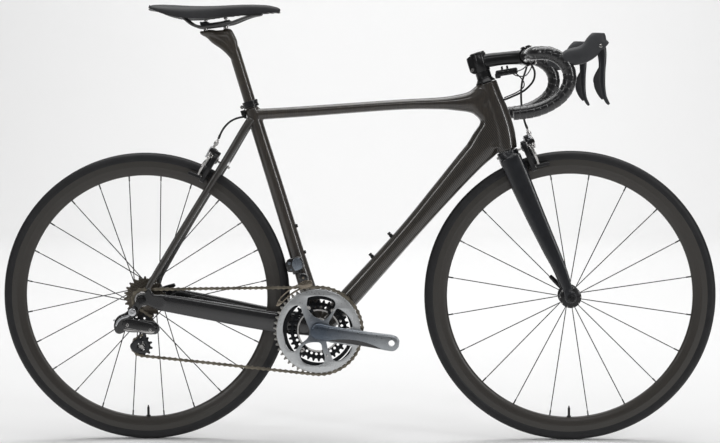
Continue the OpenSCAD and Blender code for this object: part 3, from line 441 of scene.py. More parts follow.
M = {}
M["frame_top"] = carbon("ribbed_carbon", (0.004, 0.003, 0.003), (0.12, 0.092, 0.064), 3, 790)
M["frame_down"] = carbon("diagonal_carbon", (0.004, 0.0035, 0.003), (0.11, 0.088, 0.064), 36, 500)
M["frame_stay"] = carbon("stay_carbon", (0.004, 0.0035, 0.0035), (0.10, 0.085, 0.068), -58, 790)
M["chainstay"] = satin("lacquered_black", (0.010, 0.010, 0.011), 0.22, 0.0, 500, 0.05, coat=1.0)
M["fork"] = satin("satin_carbon", (0.008, 0.009, 0.012), 0.33, 0.0, 900, 0.12, coat=0.4)
M["post"] = carbon("post_carbon", (0.006, 0.0045, 0.003), (0.13, 0.098, 0.064), -17, 790)
M["bar"] = carbon("bar_carbon", (0.012, 0.012, 0.012), (0.05, 0.048, 0.046), 90, 1600)
M["black"] = satin("anodised_black", (0.014, 0.014, 0.015), 0.33, 0.6, 900, 0.10, coat=0.3)
M["gloss"] = satin("gloss_black_enamel", (0.008, 0.008, 0.009), 0.16, 0.2, 600, 0.04, coat=1.0)
M["plastic"] = rubbery("moulded_plastic", (0.018, 0.018, 0.020), 0.5, 1100, 0.22, 0.3)
M["cable"] = rubbery("cable_jacket", (0.012, 0.012, 0.013), 0.42, 1400, 0.12)
M["grey"] = satin("blue_grey_anodising", (0.24, 0.275, 0.32), 0.27, 0.85, 1200, 0.08, coat=0.5, spread=0.12)
M["silver"] = satin("satin_aluminium", (0.60, 0.61, 0.63), 0.27, 1.0, 1500, 0.10, spread=0.08)
M["steel"] = satin("bright_steel", (0.50, 0.49, 0.48), 0.22, 1.0, 1500, 0.08, spread=0.12)
M["chain"] = satin("oiled_steel", (0.19, 0.17, 0.135), 0.34, 0.95, 1500, 0.2, spread=0.3)
M["cog"] = turned_metal("cog_steel", (0.115, 0.102, 0.085), 0.34, REAR)
M["ring"] = turned_metal("ring_aluminium", (0.36, 0.35, 0.33), 0.30, BB, 1800)
M["ring_dark"] = turned_metal("ring_dark", (0.02, 0.021, 0.023), 0.30, BB, 1800)


def face_material(name, reach, light):
    """Polished grey anodising that darkens towards the crank axis."""
    m = material(name, (0.3, 0.3, 0.3), 0.3, 0.9, Coat_Weight=0.3, Coat_Roughness=0.2)
    n = Nodes(m)
    r = n.polar(BB)[0]
    fac = n.math("ADD", n.ramp(r, 0.012, reach), n.ramp(n.noise(60, 4), 0.3, 0.7, -0.06, 0.06))
    n.color(n.mix(fac, (0.085, 0.105, 0.135), light))
    n.rough(n.ramp(n.noise(300, 3), 0.3, 0.7, 0.26, 0.36))
    n.bump(n.math("SINE", n.math("MULTIPLY", r, 9000.0)), 0.05, 0.00005)
    return m


M["face"] = face_material("graded_anodising", 0.085, (0.60, 0.615, 0.625))
M["arm"] = face_material("arm_anodising", 0.15, (0.36, 0.38, 0.40))
M["pad"] = rubbery("brake_pad", (0.012, 0.012, 0.012), 0.7, 700, 0.3)


def tyre_material(name, centre):
    """Tread with slanting grooves and a woven side wall."""
    m = rubbery(name, (0.010, 0.010, 0.011), 0.62, 1300, 0.25, 0.5)
    n = Nodes(m)
    s = n.new("SeparateXYZ")
    n.put(s.inputs[0], n.co)
    a = n.math("ARCTAN2", n.math("SUBTRACT", s.outputs[2], centre[1] * 0.001),
               n.math("SUBTRACT", s.outputs[0], centre[0] * 0.001))
    y = n.math("ABSOLUTE", s.outputs[1])
    slant = n.math("ADD", n.math("MULTIPLY", a, 160.0), n.math("MULTIPLY", y, 900.0))
    groove = n.math("SINE", n.math("MULTIPLY", slant, 2.0))
    side = n.ramp(y, 0.0062, 0.0078)
    top = n.math("SUBTRACT", 1.0, side)
    band = n.math("MULTIPLY", n.ramp(groove, 0.2, 0.9), n.math("MULTIPLY", top, n.ramp(y, 0.003, 0.0045)))
    weave = n.math("MULTIPLY", n.math("SINE", n.math("ADD", n.math("MULTIPLY", a, 1500.0),
                   n.math("MULTIPLY", y, 3000.0))), side)
    n.bump(n.math("ADD", n.math("MULTIPLY", band, -1.0), n.math("MULTIPLY", weave, 0.15)), 0.5, 0.0002)
    # Lighter mottled side walls: painted highlights for the side walls' sheen; the tread keeps the darker
    # black.
    n.color(n.mix(n.math("MULTIPLY", side, n.noise(40, 4)), (0.007, 0.007, 0.008), (0.020, 0.020, 0.022)))
    n.rough(n.ramp(side, 0, 1, 0.72, 0.5))
    return m


def rim_material(name, centre):
    """Carbon rim with a darker braking track."""
    m = material(name, (0.03, 0.027, 0.023), 0.36, 0.0, Coat_Weight=0.35, Coat_Roughness=0.25)
    n = Nodes(m)
    r, dx, dz = n.polar(centre)
    a = n.math("ARCTAN2", dz, dx)
    c = n.new("CombineXYZ")
    n.put(c.inputs[0], n.math("MULTIPLY", a, 40.0))
    n.put(c.inputs[1], n.math("MULTIPLY", r, 130.0))
    weave = n.wave(8.0, at=c.outputs[0], distort=0.6, axis="DIAGONAL")
    fine = n.noise(6.0, 4, 0.6, at=c.outputs[0])
    track = n.math("MULTIPLY", n.ramp(r, 0.3022, 0.3026), n.math("SUBTRACT", 1.0, n.ramp(r, 0.3165, 0.317)))
    body = n.mix(n.math("MULTIPLY", n.ramp(weave, 0.2, 0.8, 0.3, 1.0), n.ramp(fine, 0.3, 0.7, 0.4, 1.0)),
                 (0.013, 0.011, 0.009), (0.044, 0.037, 0.030))
    lines = n.math("SINE", n.math("MULTIPLY", r, 9000.0))
    n.color(n.mix(track, body, n.mix(n.ramp(fine, 0.3, 0.7), (0.020, 0.018, 0.015), (0.045, 0.040, 0.034))))
    n.rough(n.ramp(track, 0, 1, 0.40, 0.52))
    n.bump(n.math("ADD", n.math("MULTIPLY", weave, 0.4), n.math("MULTIPLY",
           n.math("MULTIPLY", lines, track), 0.5)), 0.22, 0.0001)
    return m


# ---------------------------------------------------------------- wheels

def wheel(end, centre, body, front):
    """Tyre, rim with valve, spokes and hub of one wheel."""
    tyre = Part()
    prof = []
    for k in range(-15, 16):
        t = D(k * 9.6)
        prof.append((TYRE_RING + TYRE_R * math.cos(t), TYRE_R * math.sin(t)))
    prof += [(318.2, 8.0), (322, 9.8), (333, 0), (322, -9.8), (318.2, -8.0)]
    tyre.lathe(prof, 0, across(centre), 320, closed=True)
    tyre.done(end + "_tyre_casing", body, [tyre_material(end + "_tyre_rubber", centre)],
              [end + "_tyre"], smooth=60)

    rim = Part()
    half = [(282.0, 0), (282.3, 2.0), (283.6, 4.2), (286.5, 6.2), (291, 7.9), (296.5, 9.2), (301.6, 10.0),
            (302.0, 10.2), (302.6, 10.2), (316.4, 10.2), (317.6, 9.9), (318.0, 9.3), (317.6, 8.7),
            (313, 8.5), (311.5, 6.0), (310, 0)]
    prof = half + [(r, -h) for r, h in reversed(half[1:-1])]
    rim.lathe(prof, 0, across(centre), 320, closed=True)
    at = across(centre, 0, 0)
    v = at @ np.array([[1, 0, 0, 0], [0, 0, 1, 0], [0, -1, 0, 0], [0, 0, 0, 1.0]])
    stem = [(3.0, -282.6), (3.0, -262.4), (2.6, -262), (2.6, -260.2), (1.6, -260), (1.6, -256.8),
            (0.4, -256.4)]
    rim.lathe([(0.01, -282.6)] + stem + [(0.01, -256.3)], 1, v, 24)
    rim.lathe([(3.1, -282.2), (5.0, -282.0), (5.2, -280.8), (4.6, -279.8), (3.1, -279.8)], 1, v, 24,
            closed=True)
    rim.done(end + "_rim_shell", body, [rim_material(end + "_rim_carbon", centre), M["black"]],
             [end + "_rim"], smooth=40)

    spokes = Part()
    count = 20 if front else 24
    for i in range(count):
        a = D(90 + 360 * (i + 0.5) / count)
        z = 1 if i % 2 == 0 else -1
        if front:
            h = vec(25.3 * math.cos(a), 25.3 * math.sin(a), z * 27)
        else:
            lead = 1 if (i // 2) % 2 == 0 else -1
            turn = a + D(lead * 62)
            h = vec(26 * math.cos(turn), 26 * math.sin(turn), (19 if z > 0 else -34) + lead * 1.6)
        e = vec(283.2 * math.cos(a), 283.2 * math.sin(a), z * 1.5)
        d = unit(e - h)
        m4 = at[:3, :3]
        pts = [m4 @ p + at[:3, 3] for p in (h, h + d * 6, h + d * 14, e - d * 24, e - d * 16, e)]
        spokes.sweep(pts, [1.0, 1.0, 1.15, 1.15, 0.95, 0.95], 0, 10)
        spokes.sweep([m4 @ p + at[:3, 3] for p in (e - d * 12.5, e - d * 11.8, e - d * 3, e)],
                     [1.25, 1.75, 1.75, 2.2], 1, 8)
    spokes.done(end + "_spoke_set", body, [M["black"], M["gloss"]], [end + "_spokes"])

    hub = Part()
    if front:
        prof = [(8.2, -48), (10.6, -48), (11.2, -47.4), (12.4, -38), (13.2, -32.4), (16, -31.2),
                (24.2, -29.6), (25, -29), (25, -25), (24.2, -24.4), (17, -23.6), (12.4, -21), (10.6, -14),
                (9.9, -6)]
        prof = prof + [(r, -h) for r, h in reversed(prof)]
        hub.lathe(prof, 0, at, 72, closed=True)
        for s in (1, -1):
            hub.lathe([(4.55, s * 38.2), (8.1, s * 38.2), (8.1, s * 46.5), (9.8, s * 47.9), (9.6, s * 49.6),
                       (4.55, s * 49.8)], 1, at, 48, closed=True)
            for k in range(10):
                b = D(90 + 36 * (k + 0.25 + (0.25 if s > 0 else 0.75)))
                hub.lathe([(0.02, s * 29.2), (1.5, s * 29.4), (1.8, s * 30.0), (1.2, s * 30.7),
                          (0.02, s * 30.9)], 1, at @ place((23 * math.cos(b), 23 * math.sin(b), 0)), 12)
    else:
        prof = [(9.2, -62), (11.4, -62), (12, -61.4), (13.5, -44), (14.4, -38.4), (18, -37.2),
                (24.4, -36.4), (25, -35.8), (25, -32.2), (24.4, -31.6), (16, -30), (12.6, -24),
                (11.5, -10), (12.2, 10), (15, 14.5), (24.8, 16.9), (25.5, 17.5), (25.5, 20.4), (25, 21),
                (17, 21.8), (9.2, 21.8)]
        hub.lathe(prof, 0, at, 72, closed=True)
        hub.lathe([(5.05, -63.5), (9.0, -63.3), (9.1, -52.2), (5.05, -52.2)], 1, at, 48, closed=True)
    hub.done(end + "_hub_shell", body, [M["black"], M["steel"]], [end + "_hub"])


wheel("front", FRONT, "front_wheel", True)
wheel("rear", REAR, "rear_wheel", False)

# ---------------------------------------------------------------- frame

top_tube = [[-230, 0, 757, 3, 26, 30], [-129, 0, 762.6, 3.5, 25, 31], [90, 0, 777, 3.5, 24, 33],
            [190, 0, 780, 4, 28, 36], [232, 0, 781, 4, 37, 38], [262, 0, 783, 2, 50, 40],
            [286, 0, 788, 0, 82, 42], [300, 0, 790, 0, 92, 44]]
down_tube = [[-80, 0, 266, 48, 46, 52], [-21, 0, 328, 48, 48, 48], [110, 0, 473.5, 48, 44.5, 44],
             [196, 0, 573, 48.5, 51, 43], [262, 0, 648, 48.5, 60, 43], [294.7, 0, 681.2, 50, 66, 44],
             [309, 0, 698, 55, 60, 45]]
web = [[284, 0, 776, 90, 76, 41], [293, 0, 764, 90, 68, 41], [300, 0, 754, 90, 58, 42],
       [304, 0, 746, 90, 47, 42.5], [306.5, 0, 739, 90, 43, 43], [307, 0, 731, 90, 47, 43],
       [305.5, 0, 722, 90, 56, 43.5], [303, 0, 710, 90, 68, 44], [300.5, 0, 698, 90, 77, 44],
       [299, 0, 686, 90, 88, 44], [300, 0, 676, 90, 90, 43]]
seat_tube = [[-88, 0, 264, 106.7, 44, 46], [-137, 0, 427, 106.7, 36.6, 36], [-182, 0, 577, 106.7, 34.5, 33],
             [-226, 0, 722, 106.7, 32.5, 33], [-240.6, 0, 772, 106.7, 32.5, 33]]
head_tube = [[347, 0, 671.5, 107, 49, 48], [339, 0, 712, 107, 53, 47], [325, 0, 757, 107, 53, 46],
             [311, 0, 793, 107, 50, 45], [299, 0, 826.5, 107, 49.5, 46]]
chainstay = [[-98, 24, 266, 170, 44, 18], [-160, 26.5, 275, 170, 48, 16], [-214, 32, 283, 170, 48, 16],
             [-300, 45, 300, 170, 46, 16], [-400, 61, 320, 170, 42, 12], [-452, 68.5, 329, 170, 38, 6.5]]
seatstay = [[-240, 12, 748, 239, 20, 15], [-262, 19, 714, 239, 18, 15], [-300, 27, 651, 239, 17, 14],
            [-386, 42, 514, 239, 14.5, 12], [-456, 61, 398, 239, 14, 10], [-478, 68.2, 359, 239, 14, 6]]
fork_blade = [[352.5, 27, 657, -67, 50, 20], [375.5, 30, 604, -67, 48.5, 18], [412, 36.5, 520, -67, 42, 16],
              [448.5, 44, 440, -67, 34, 13], [470, 49.5, 393, -67, 27, 9], [484, 53, 352, -67, 22, 6]]

p = Part()
p.loft(top_tube, n=56, power=2.3).loft(down_tube, n=56, power=2.3).loft(seat_tube, n=48).loft(head_tube,
        n=56)
p.loft(web, n=56, power=2.5, step=4)
p.lathe([(0.01, -34), (25, -34), (25, 34), (0.01, 34)], 0, across(BB), 64)
front = p.done("frame_front_triangle", "frame", [M["frame_top"], M["frame_down"]],
               ["front_triangle"], remesh=1.7, relax=14)
for q in front.data.polygons:
    c = q.center * 1000
    below = (c.x - 262) * 0.9 - (c.z - 735)
    q.material_index = 1 if (below > 0 and c.x > -70 and c.z < 742) or (c.x > 262 and c.z < 742) else 0


def ring_pts(c, r, a0, a1, n=12):
    """Points on an arc from a0 to a1 degrees."""
    return [(c[0] + r * math.cos(D(a0 + (a1 - a0) * k / n)), c[1] + r * math.sin(D(a0 + (a1 - a0) * k / n)))
            for k in range(n + 1)]


def capsule(a, b, ra, rb=None, n=12):
    """Outline round two circles."""
    rb = ra if rb is None else rb
    d = math.hypot(b[0] - a[0], b[1] - a[1])
    t = math.degrees(math.atan2(b[1] - a[1], b[0] - a[0]))
    s = math.degrees(math.asin(max(-1, min(1, (ra - rb) / max(d, 1e-6)))))
    return ring_pts(a, ra, t + 90 - s, t + 270 + s, n) + ring_pts(b, rb, t - 90 + s, t + 90 - s, n)


def smooth_line(points, step=5):
    """A closed outline with its corners smoothed."""
    pts = points[-2:] + points + points[:2]
    return [tuple(q) for q in catmull(pts, step)[2 * step:-2 * step - 1]]


def circle(c, r, n=28):
    """A closed circle of points."""
    return ring_pts(c, r, 0, 360 - 360 / n, n - 1)


# chainstays with their dropouts
p = Part()
for side in (False, True):
    p.loft(chainstay, n=40, power=2.4, mirror=side)
    s = 1 if side else -1
    out = smooth_line([(-440, 344), (-436, 332), (-440, 316), (-458, 314), (-478, 322), (-496, 322),
                       (-504, 334), (-499, 346), (-484, 350), (-477, 362), (-470, 360), (-463, 348),
                       (-452, 346)])
    p.plate([(x, z) for x, z in out], 7, 0, across((0, 0), s * 68.5), bevel=1.6)
p.lathe([(0.01, -24), (15, -24), (15, 24), (0.01, 24)], 0, across((-118, 268)), 40)
p.plate(capsule((-495, 329), HANGER, 9, 9), 7, 0, across((0, 0), -68.5), bevel=1.2)
p.done("chainstay_pair", "frame", [M["chainstay"]], ["chainstays"], remesh=1.6, relax=8)

p = Part()
for side in (False, True):
    p.loft(seatstay, n=36, power=2.2, mirror=side)
p.sweep([(-303.5, -25, 645.5), (-303.5, 0, 645.5), (-303.5, 25, 645.5)], 8.5, n=28)
p.done("seatstay_pair", "frame", [M["frame_stay"]], ["seatstays"], remesh=1.4, relax=8)

# fork
p = Part()
for side in (False, True):
    p.loft(fork_blade, n=44, power=2.2, mirror=side)
    s = 1 if side else -1
    p.plate(smooth_line([(476, 352), (475, 340), (480, 327), (491, 324), (501, 329), (502, 341),
            (495, 352)]), 6, 0, across((0, 0), s * 53), bevel=1.4)
up_h = vec(-math.sin(D(LEAN)), 0, math.cos(D(LEAN)))
fw_h = vec(math.cos(D(LEAN)), 0, math.sin(D(LEAN)))


def steer(t, x=0.0, y=0.0):
    """A point at t along the steering axis, x ahead of it and y across."""
    return vec(449, 0, 335) + up_h * t + fw_h * x + vec(0, y, 0)


p.loft([[354, 0, 651, -67, 48, 58], [351, 0, 659, -68, 49, 56], [349, 0, 664, -72, 48.5, 50],
        [347.6, 0, 668, -73, 49, 48.4], [347.0, 0, 670.0, -73, 49, 48]], n=48, power=2.2, step=4)
p.sweep([(364, -30, 626), (360, -14, 643), (359, 0, 647), (360, 14, 643), (364, 30, 626)], 9, n=24,
        flat=2.0, up=(0, 0.0, 1))
p.done("fork_blades", "steering", [M["fork"]], ["fork"], remesh=1.5, relax=10)

# seat collar, bearings' visible rims and bottom bracket cups
up_s = vec(-math.sin(D(SEAT)), 0, math.cos(D(SEAT)))
fw_s = vec(math.cos(D(SEAT)), 0, math.sin(D(SEAT)))


def seat(t, x=0.0, y=0.0):
    """A point at t along the seat tube, x ahead of it and y across."""
    return vec(BB[0], 0, BB[1]) + up_s * t + fw_s * x + vec(0, y, 0)


p = Part()
at = place(seat(536), up_s, fw_s)
p.lathe([(13.75, 0), (17.6, 0), (18.2, 0.8), (18.2, 4), (17.4, 4.8), (17.4, 9.8), (18.2, 10.6),
         (18.2, 14.2), (17.6, 15), (13.75, 15)], 0, at, 80, closed=True)
for y in (-4.4, 4.4):
    p.plate([(-27, 1.2), (-27, 12), (-25, 13), (-16, 13), (-16, 0.6), (-25, 0.4)], 7.2, 0,
            place(seat(536, 0, y), (0, 1, 0), fw_s), bevel=1.2)
p.lathe([(0.02, 12.9), (1.4, 12.7), (1.6, 11), (3.4, 11), (4.3, 10.2), (4.3, 7.6), (0.02, 7.4)], 1,
        place(seat(543, -22), (0, 1, 0)), 32)
p.lathe([(0.02, -11), (2.4, -11), (2.4, -7.4), (0.02, -7.4)], 1, place(seat(543, -22), (0, 1, 0)), 24)
p.done("seat_clamp_collar", "frame", [M["black"], M["steel"]], ["seat_collar"])

p = Part()
for s in (1, -1):
    at = across(BB, 0)
    p.lathe([(12.05, s * 20), (20.3, s * 20), (20.3, s * 34), (22.5, s * 34.2), (22.5, s * 37.6),
             (21.8, s * 38.4), (12.05, s * 38.4)], 0, at, 64, closed=True)
p.done("crank_bearing_cups", "frame", [M["black"]], ["bottom_bracket"])

p = Part()
for t, x in ((180, 18.4), (244, 18.0)):
    at = place(seat(t, x), fw_s)
    p.lathe([(0.02, 0), (4.6, 0), (4.8, 0.5), (4.0, 1.0), (3.9, 3.0), (3.3, 3.5), (1.6, 3.5), (1.5, 1.6),
            (0.02, 1.5)], 0, at, 28)
for x, z in ((32, 431.5), (75.5, 480)):
    at = place((x, 0, z), (-math.sin(D(42)), 0, math.cos(D(42))))
    p.lathe([(0.02, -9), (4.2, -9), (4.6, -8.4), (4.6, -3), (3.2, -2.2), (3.2, -0.2), (0.02, -0.2)], 0,
            at, 28)
    p.lathe([(0.02, -0.6), (4.8, -0.4), (4.9, 0.4), (4.0, 1.0), (3.9, 3.0), (3.3, 3.4), (1.6, 3.4),
            (1.5, 1.6), (0.02, 1.5)], 0, at, 28)
p.done("bottle_screws", "frame", [M["black"]], ["bottle_bolts"])

# ---------------------------------------------------------------- seatpost and saddle

p = Part()
p.lathe([(11.7, 435), (13.6, 435.3), (13.6, 668), (13.2, 676), (12.2, 680), (0.02, 681)], 0,
        place((BB[0], 0, BB[1]), up_s, fw_s), 72)
p.loft([[-283, 0, 905, 110, 27.2, 27.2], [-290.5, 0, 918, 128, 27.5, 27.2], [-303, 0, 929, 145, 27, 27],
        [-320, 0, 938, 158, 24, 28], [-336, 0, 944, 172, 17, 29], [-348, 0, 945, 180, 12, 29]], n=48,
        step=6)
p.loft([[-281, 0, 912, 112, 22, 26], [-284, 0, 926, 108, 22, 27], [-291, 0, 939, 120, 22, 29],
        [-299, 0, 947, 150, 15, 29]], n=40, step=5)
p.loft([[-289, 0, 942, 180, 17, 29], [-310, 0, 940, 182, 16, 29], [-330, 0, 941, 184, 14, 29],
        [-350, 0, 943.5, 186, 12, 28]], n=40, step=4)
p.plate(smooth_line([(-357, 949), (-356, 941), (-342, 933), (-331, 922), (-307, 905), (-292, 890),
                     (-282, 878), (-268, 880), (-272, 920), (-281, 945), (-290, 954), (-310, 951),
                     (-335, 950)], 4), 25, 0, across((0, 0), 0), bevel=7, res=5)
p.done("seatpost_mast", "seatpost", [M["post"]], ["seatpost"], remesh=1.3, relax=8)

p = Part()
for x, zc in ((-345, 952), (-299, 956)):
    p.lathe([(0.02, -4), (4.6, -4), (5.4, -3), (5.4, 3.2), (4.2, 4), (2.5, 4), (2.5, 20), (4.4, 20.2),
             (4.6, 23.4), (3.8, 24.2), (1.8, 24.2), (1.6, 21.6), (0.02, 21.4)], 1, place((x, 0, zc)), 28)
    p.plate(smooth_line([(-9, 0), (-7.5, 4.5), (-2, 6.5), (5, 5.5), (8.5, 1), (7, -3.2), (0, -4.4),
            (-6.5, -3.4)]), 34, 0, place((x, 0, 966), (0, 1, 0), (1, 0, 0.08)), bevel=1.4)
for s in (1, -1):
    p.plate(smooth_line([(-356, 969.4), (-335, 966.8), (-310, 969.5), (-288, 973.6), (-290, 966.4),
                         (-318, 962.4), (-340, 960.8), (-357, 962.5)]), 7, 0, across((0, 0), s * 19),
                         bevel=1.2)
p.done("saddle_clamps", "seatpost", [M["black"], M["steel"]], ["seat_clamp"])

saddle_s = [[-474, 22, 1006, 1002], [-470, 42, 1008, 999], [-459, 58, 1009.2, 995], [-440, 65, 1009.5, 987],
            [-410, 63, 1008.3, 979], [-380, 54, 1006.8, 975.5], [-350, 41, 1006.2, 975.5],
            [-320, 31, 1006.6, 978.5], [-285, 24.5, 1008, 982], [-245, 20.5, 1009, 984.5],
            [-205, 18.5, 1007.4, 987], [-184, 15.5, 1003.5, 988.5], [-176, 11, 1000.5, 989.5],
            [-172.5, 4, 997.5, 991.5]]


def saddle_rings():
    """Rings of the cover: a crowned top and a hollow underside."""
    rings = []
    for x, w, top, low in catmull(saddle_s, 6):
        w = max(w, 1.0)
        prof = []
        for k in range(41):
            t = -1 + 2 * k / 40
            h = 1 - abs(t) ** 3.2
            y = w * (1 - (1 - abs(t)) ** 1.35) * (1 if t > 0 else -1)
            crown = SADDLE_CROWN * (1 - (y / w) ** 2)
            z = low + (top - SADDLE_CROWN - low) * h ** 0.55 + crown * h
            prof.append((x, y, z))
        under = []
        for k in range(1, 20):
            t = 1 - 2 * k / 20
            y = (w - (2.2 if w > 6 else 0.5)) * t
            z = low + 0.5 + (7.5 if w > 14 else 3.0) * (1 - abs(t) ** 4)
            under.append((x, y, z))
        rings.append(np.array(prof + under))
    return rings


p = Part()
p.rings(saddle_rings())
cover = p.done("saddle_cover_skin", "saddle", [M["plastic"]], ["saddle_cover"], remesh=1.5,
        relax=4)
p = Part()
rings = []
for x, w, top, low in catmull(saddle_s, 6):
    w = max(w * 0.93 - 1.5, 1.0)
    z = (top + low) / 2 - 5
    rings.append(np.array([(x, w * math.cos(a),
            z + (2.2 if w > 8 else 1) * math.sin(a)) for a in np.linspace(0, 2 * math.pi, 32, False)]))
p.rings(rings)
p.plate(smooth_line([(-214, 991), (-216, 984), (-226, 982), (-236, 985), (-232, 992)]), 26, 0,
        across((0, 0), 0), bevel=1.5)
for s in (1, -1):
    p.plate(smooth_line([(-412, 992), (-408, 982), (-394, 979), (-384, 984), (-386, 992)]), 14, 0,
            across((0, 0), s * 22), bevel=1.5)
p.done("saddle_base", "saddle", [M["plastic"]], ["saddle_shell"])

rail = [[-402, 22, 985], [-390, 22, 976], [-374, 22, 964], [-354, 22, 957.8], [-320, 22, 961],
        [-290, 22, 965.3], [-276, 22, 969], [-258, 20, 976], [-240, 14, 982], [-222, 9, 986]]
p = Part()
for s in (1, -1):
    p.sweep([(x, s * y, z) for x, y, z in catmull(rail, 6)], 3.6, n=20)
p.done("saddle_rail_pair", "saddle", [M["bar"]], ["saddle_rails"])

# ---------------------------------------------------------------- cockpit

p = Part()
at = place(steer(514.8), up_h, fw_h)
p.lathe([(14.4, 0), (23.2, 0), (23.6, 0.7), (23.2, 1.8), (21.4, 3.6), (18.8, 7.4), (17.6, 9.2),
         (17.2, 10), (17.2, 16.6), (16.8, 17), (17.2, 17.4), (17.2, 25.4), (16.8, 25.9), (14.4, 25.9)], 0,
         at, 96, closed=True)
at = place(steer(582.2), up_h, fw_h)
p.lathe([(0.02, -20), (11.2, -20), (11.2, -1), (16.6, 0), (17.2, 0.6), (17.0, 2.6), (15.4, 4.0),
         (6.4, 4.6), (6.0, 4.0), (4.4, 3.8), (4.2, 2.2), (2.3, 2.1), (2.2, 0.4), (0.02, 0.3)], 0, at, 80)
p.lathe([(2.4, 2.2), (4.0, 2.3), (4.0, 4.4), (3.6, 5.0), (2.4, 5.0)], 1, at, 40, closed=True)
p.done("headset_stack", "steering", [M["black"], M["steel"]], ["headset_covers"])

bar_c = steer(544, 107)
p = Part()
p.lathe([(14.4, 541), (18.2, 541), (18.6, 541.6), (18.6, 581.4), (18.2, 582), (14.4, 582)], 0,
        place((449, 0, 335), up_h, fw_h), 72, closed=True)
sec = []
for t, x, dep, wid in ((561.5, 4, 33, 34), (561, 20, 32, 32), (557, 45, 30, 30.5), (552, 68, 30.5, 31),
        (547.5, 86, 32, 36), (546, 93, 32, 39)):
    c = steer(t, x)
    sec.append([c[0], 0, c[2], LEAN - 9, dep, wid])
p.loft(sec, n=44, power=2.6, step=5)
p.lathe([(15.95, -20), (19.6, -20), (20, -19.4), (20, 19.4), (19.6, 20), (15.95, 20)], 0,
        place(bar_c, (0, -1, 0)), 64, closed=True)
for s in (1, -1):
    c = steer(544 + s * 18.7, 107 - 4.4)
    p.box((9, 39, 8.6), 0, place(c, up_h, fw_h), 2.4)
for y in (-6.6, 6.6):
    p.plate(smooth_line([(-27, -14), (-27, 14), (-24, 18.5), (-14, 18.5), (-14, -18.5), (-24, -18.5)], 4),
            11, 0, place(steer(561.5, 0, y), (0, -1, 0), fw_h), bevel=1.6)
p.done("stem_body", "steering", [M["black"]], ["stem"], smooth=40)

p = Part()
outer = ring_pts((0, 0), 20.2, -84, 84, 24)
inner = ring_pts((0, 0), 15.95, 84, -84, 24)
p.plate([(1.6 if abs(q[0]) < 2.4 else q[0], q[1]) for q in outer + inner], 40, 0,
        place(bar_c, (0, -1, 0), fw_h), bevel=0.8)
for s in (1, -1):
    p.box((10.6, 39, 9), 0, place(steer(544 + s * 18.7, 107 + 6.9), up_h, fw_h), 2.4)
p.done("stem_face", "steering", [M["black"]], ["stem_faceplate"], smooth=40)

p = Part()
cap = [(0.02, 0), (3.6, 0), (4.1, 0.5), (4.1, 2.9), (3.7, 3.5), (2.1, 3.5), (2.0, 1.6), (0.02, 1.5)]
for t, s in ((551, -1), (572, 1)):
    p.lathe(cap, 0, place(steer(t, -21, s * 12.2), (0, s, 0)), 28)
    p.lathe([(0.02, -24), (2.5, -24), (2.5, 0), (0.02, 0)], 0, place(steer(t, -21, s * 12.2), (0, s, 0)),
            20)
for s in (1, -1):
    for y in (-14, 14):
        p.lathe(cap, 0, place(steer(544 + s * 18.7, 107 + 12.6, y), fw_h), 28)
        p.lathe([(0.02, -16), (2.4, -16), (2.4, 0), (0.02, 0)], 0,
                place(steer(544 + s * 18.7, 107 + 12.6, y), fw_h), 20)
p.done("stem_screws", "steering", [M["steel"]], ["stem_bolts"])

bar_path = [[392, 28, 886], [392, 60, 886], [392, 110, 886], [392, 150, 886], [394, 172, 886],
            [401, 188, 886.5], [413, 198, 886.5], [428, 203, 885], [440, 205, 880], [451, 205, 873],
            [461, 205, 863], [468, 205, 850], [471, 205, 835], [469, 205, 819], [462, 205.5, 804],
            [451, 206, 791], [438, 207, 781], [420, 208, 771], [398, 209, 763], [376, 209.6, 759],
            [352, 210, 756.5]]


def flip(path, s):
    """The path mirrored across the bicycle when s is -1."""
    q = np.array(path, float)
    q[:, 1] *= s
    return q


def wrapped(part, path, r, turn, depth, n=44, mat=0):
    """Tape wound round a bar: each turn's edge laps the one before."""
    pts = [path[0]]
    for a, b in zip(path[:-1], path[1:]):
        k = max(1, int(np.linalg.norm(b - a) / 0.9))
        pts += [a + (b - a) * (j + 1) / k for j in range(k)]
    pts = np.array(pts)
    run = np.concatenate([[0], np.cumsum(np.linalg.norm(np.diff(pts, axis=0), axis=1))])
    m = len(pts)
    u, rings = vec(0, 0, 1), []
    for i in range(m):
        t = unit(pts[min(i + 3, m - 1)] - pts[max(i - 3, 0)])
        u = unit(u - t * u.dot(t))
        w = np.cross(t, u)
        a = np.arange(n) * 2 * math.pi / n
        ph = (run[i] / turn + a / (2 * math.pi)) % 1.0
        lap = np.where(ph < 0.12, ph / 0.12, 1.0 - 0.55 * (ph - 0.12) / 0.88) * np.where(ph > 0.95,
                (1 - ph) / 0.05 * 0.6 + 0.4, 1.0)
        rr = r - depth + depth * lap
        rings.append(pts[i] + rr[:, None] * (np.cos(a)[:, None] * u + np.sin(a)[:, None] * w))
    part.rings(rings, mat)


p = Part()
p.lathe([(0.02, -32), (15.2, -32), (15.85, -31), (15.85, 31), (15.2, 32), (0.02, 32)], 0,
        place(bar_c, (0, -1, 0)), 64)
for s in (1, -1):
    q = catmull(flip(bar_path, s), 5)
    q[:, 0] += bar_c[0] - 392
    p.sweep(q[:int(len(q) * 0.42)], np.concatenate([np.linspace(15.8, 11.8, 12),
            np.full(int(len(q) * 0.42) - 12, 11.8)]), 0, 32)
p.done("handlebar_tube", "steering", [M["bar"]], ["handlebar"])

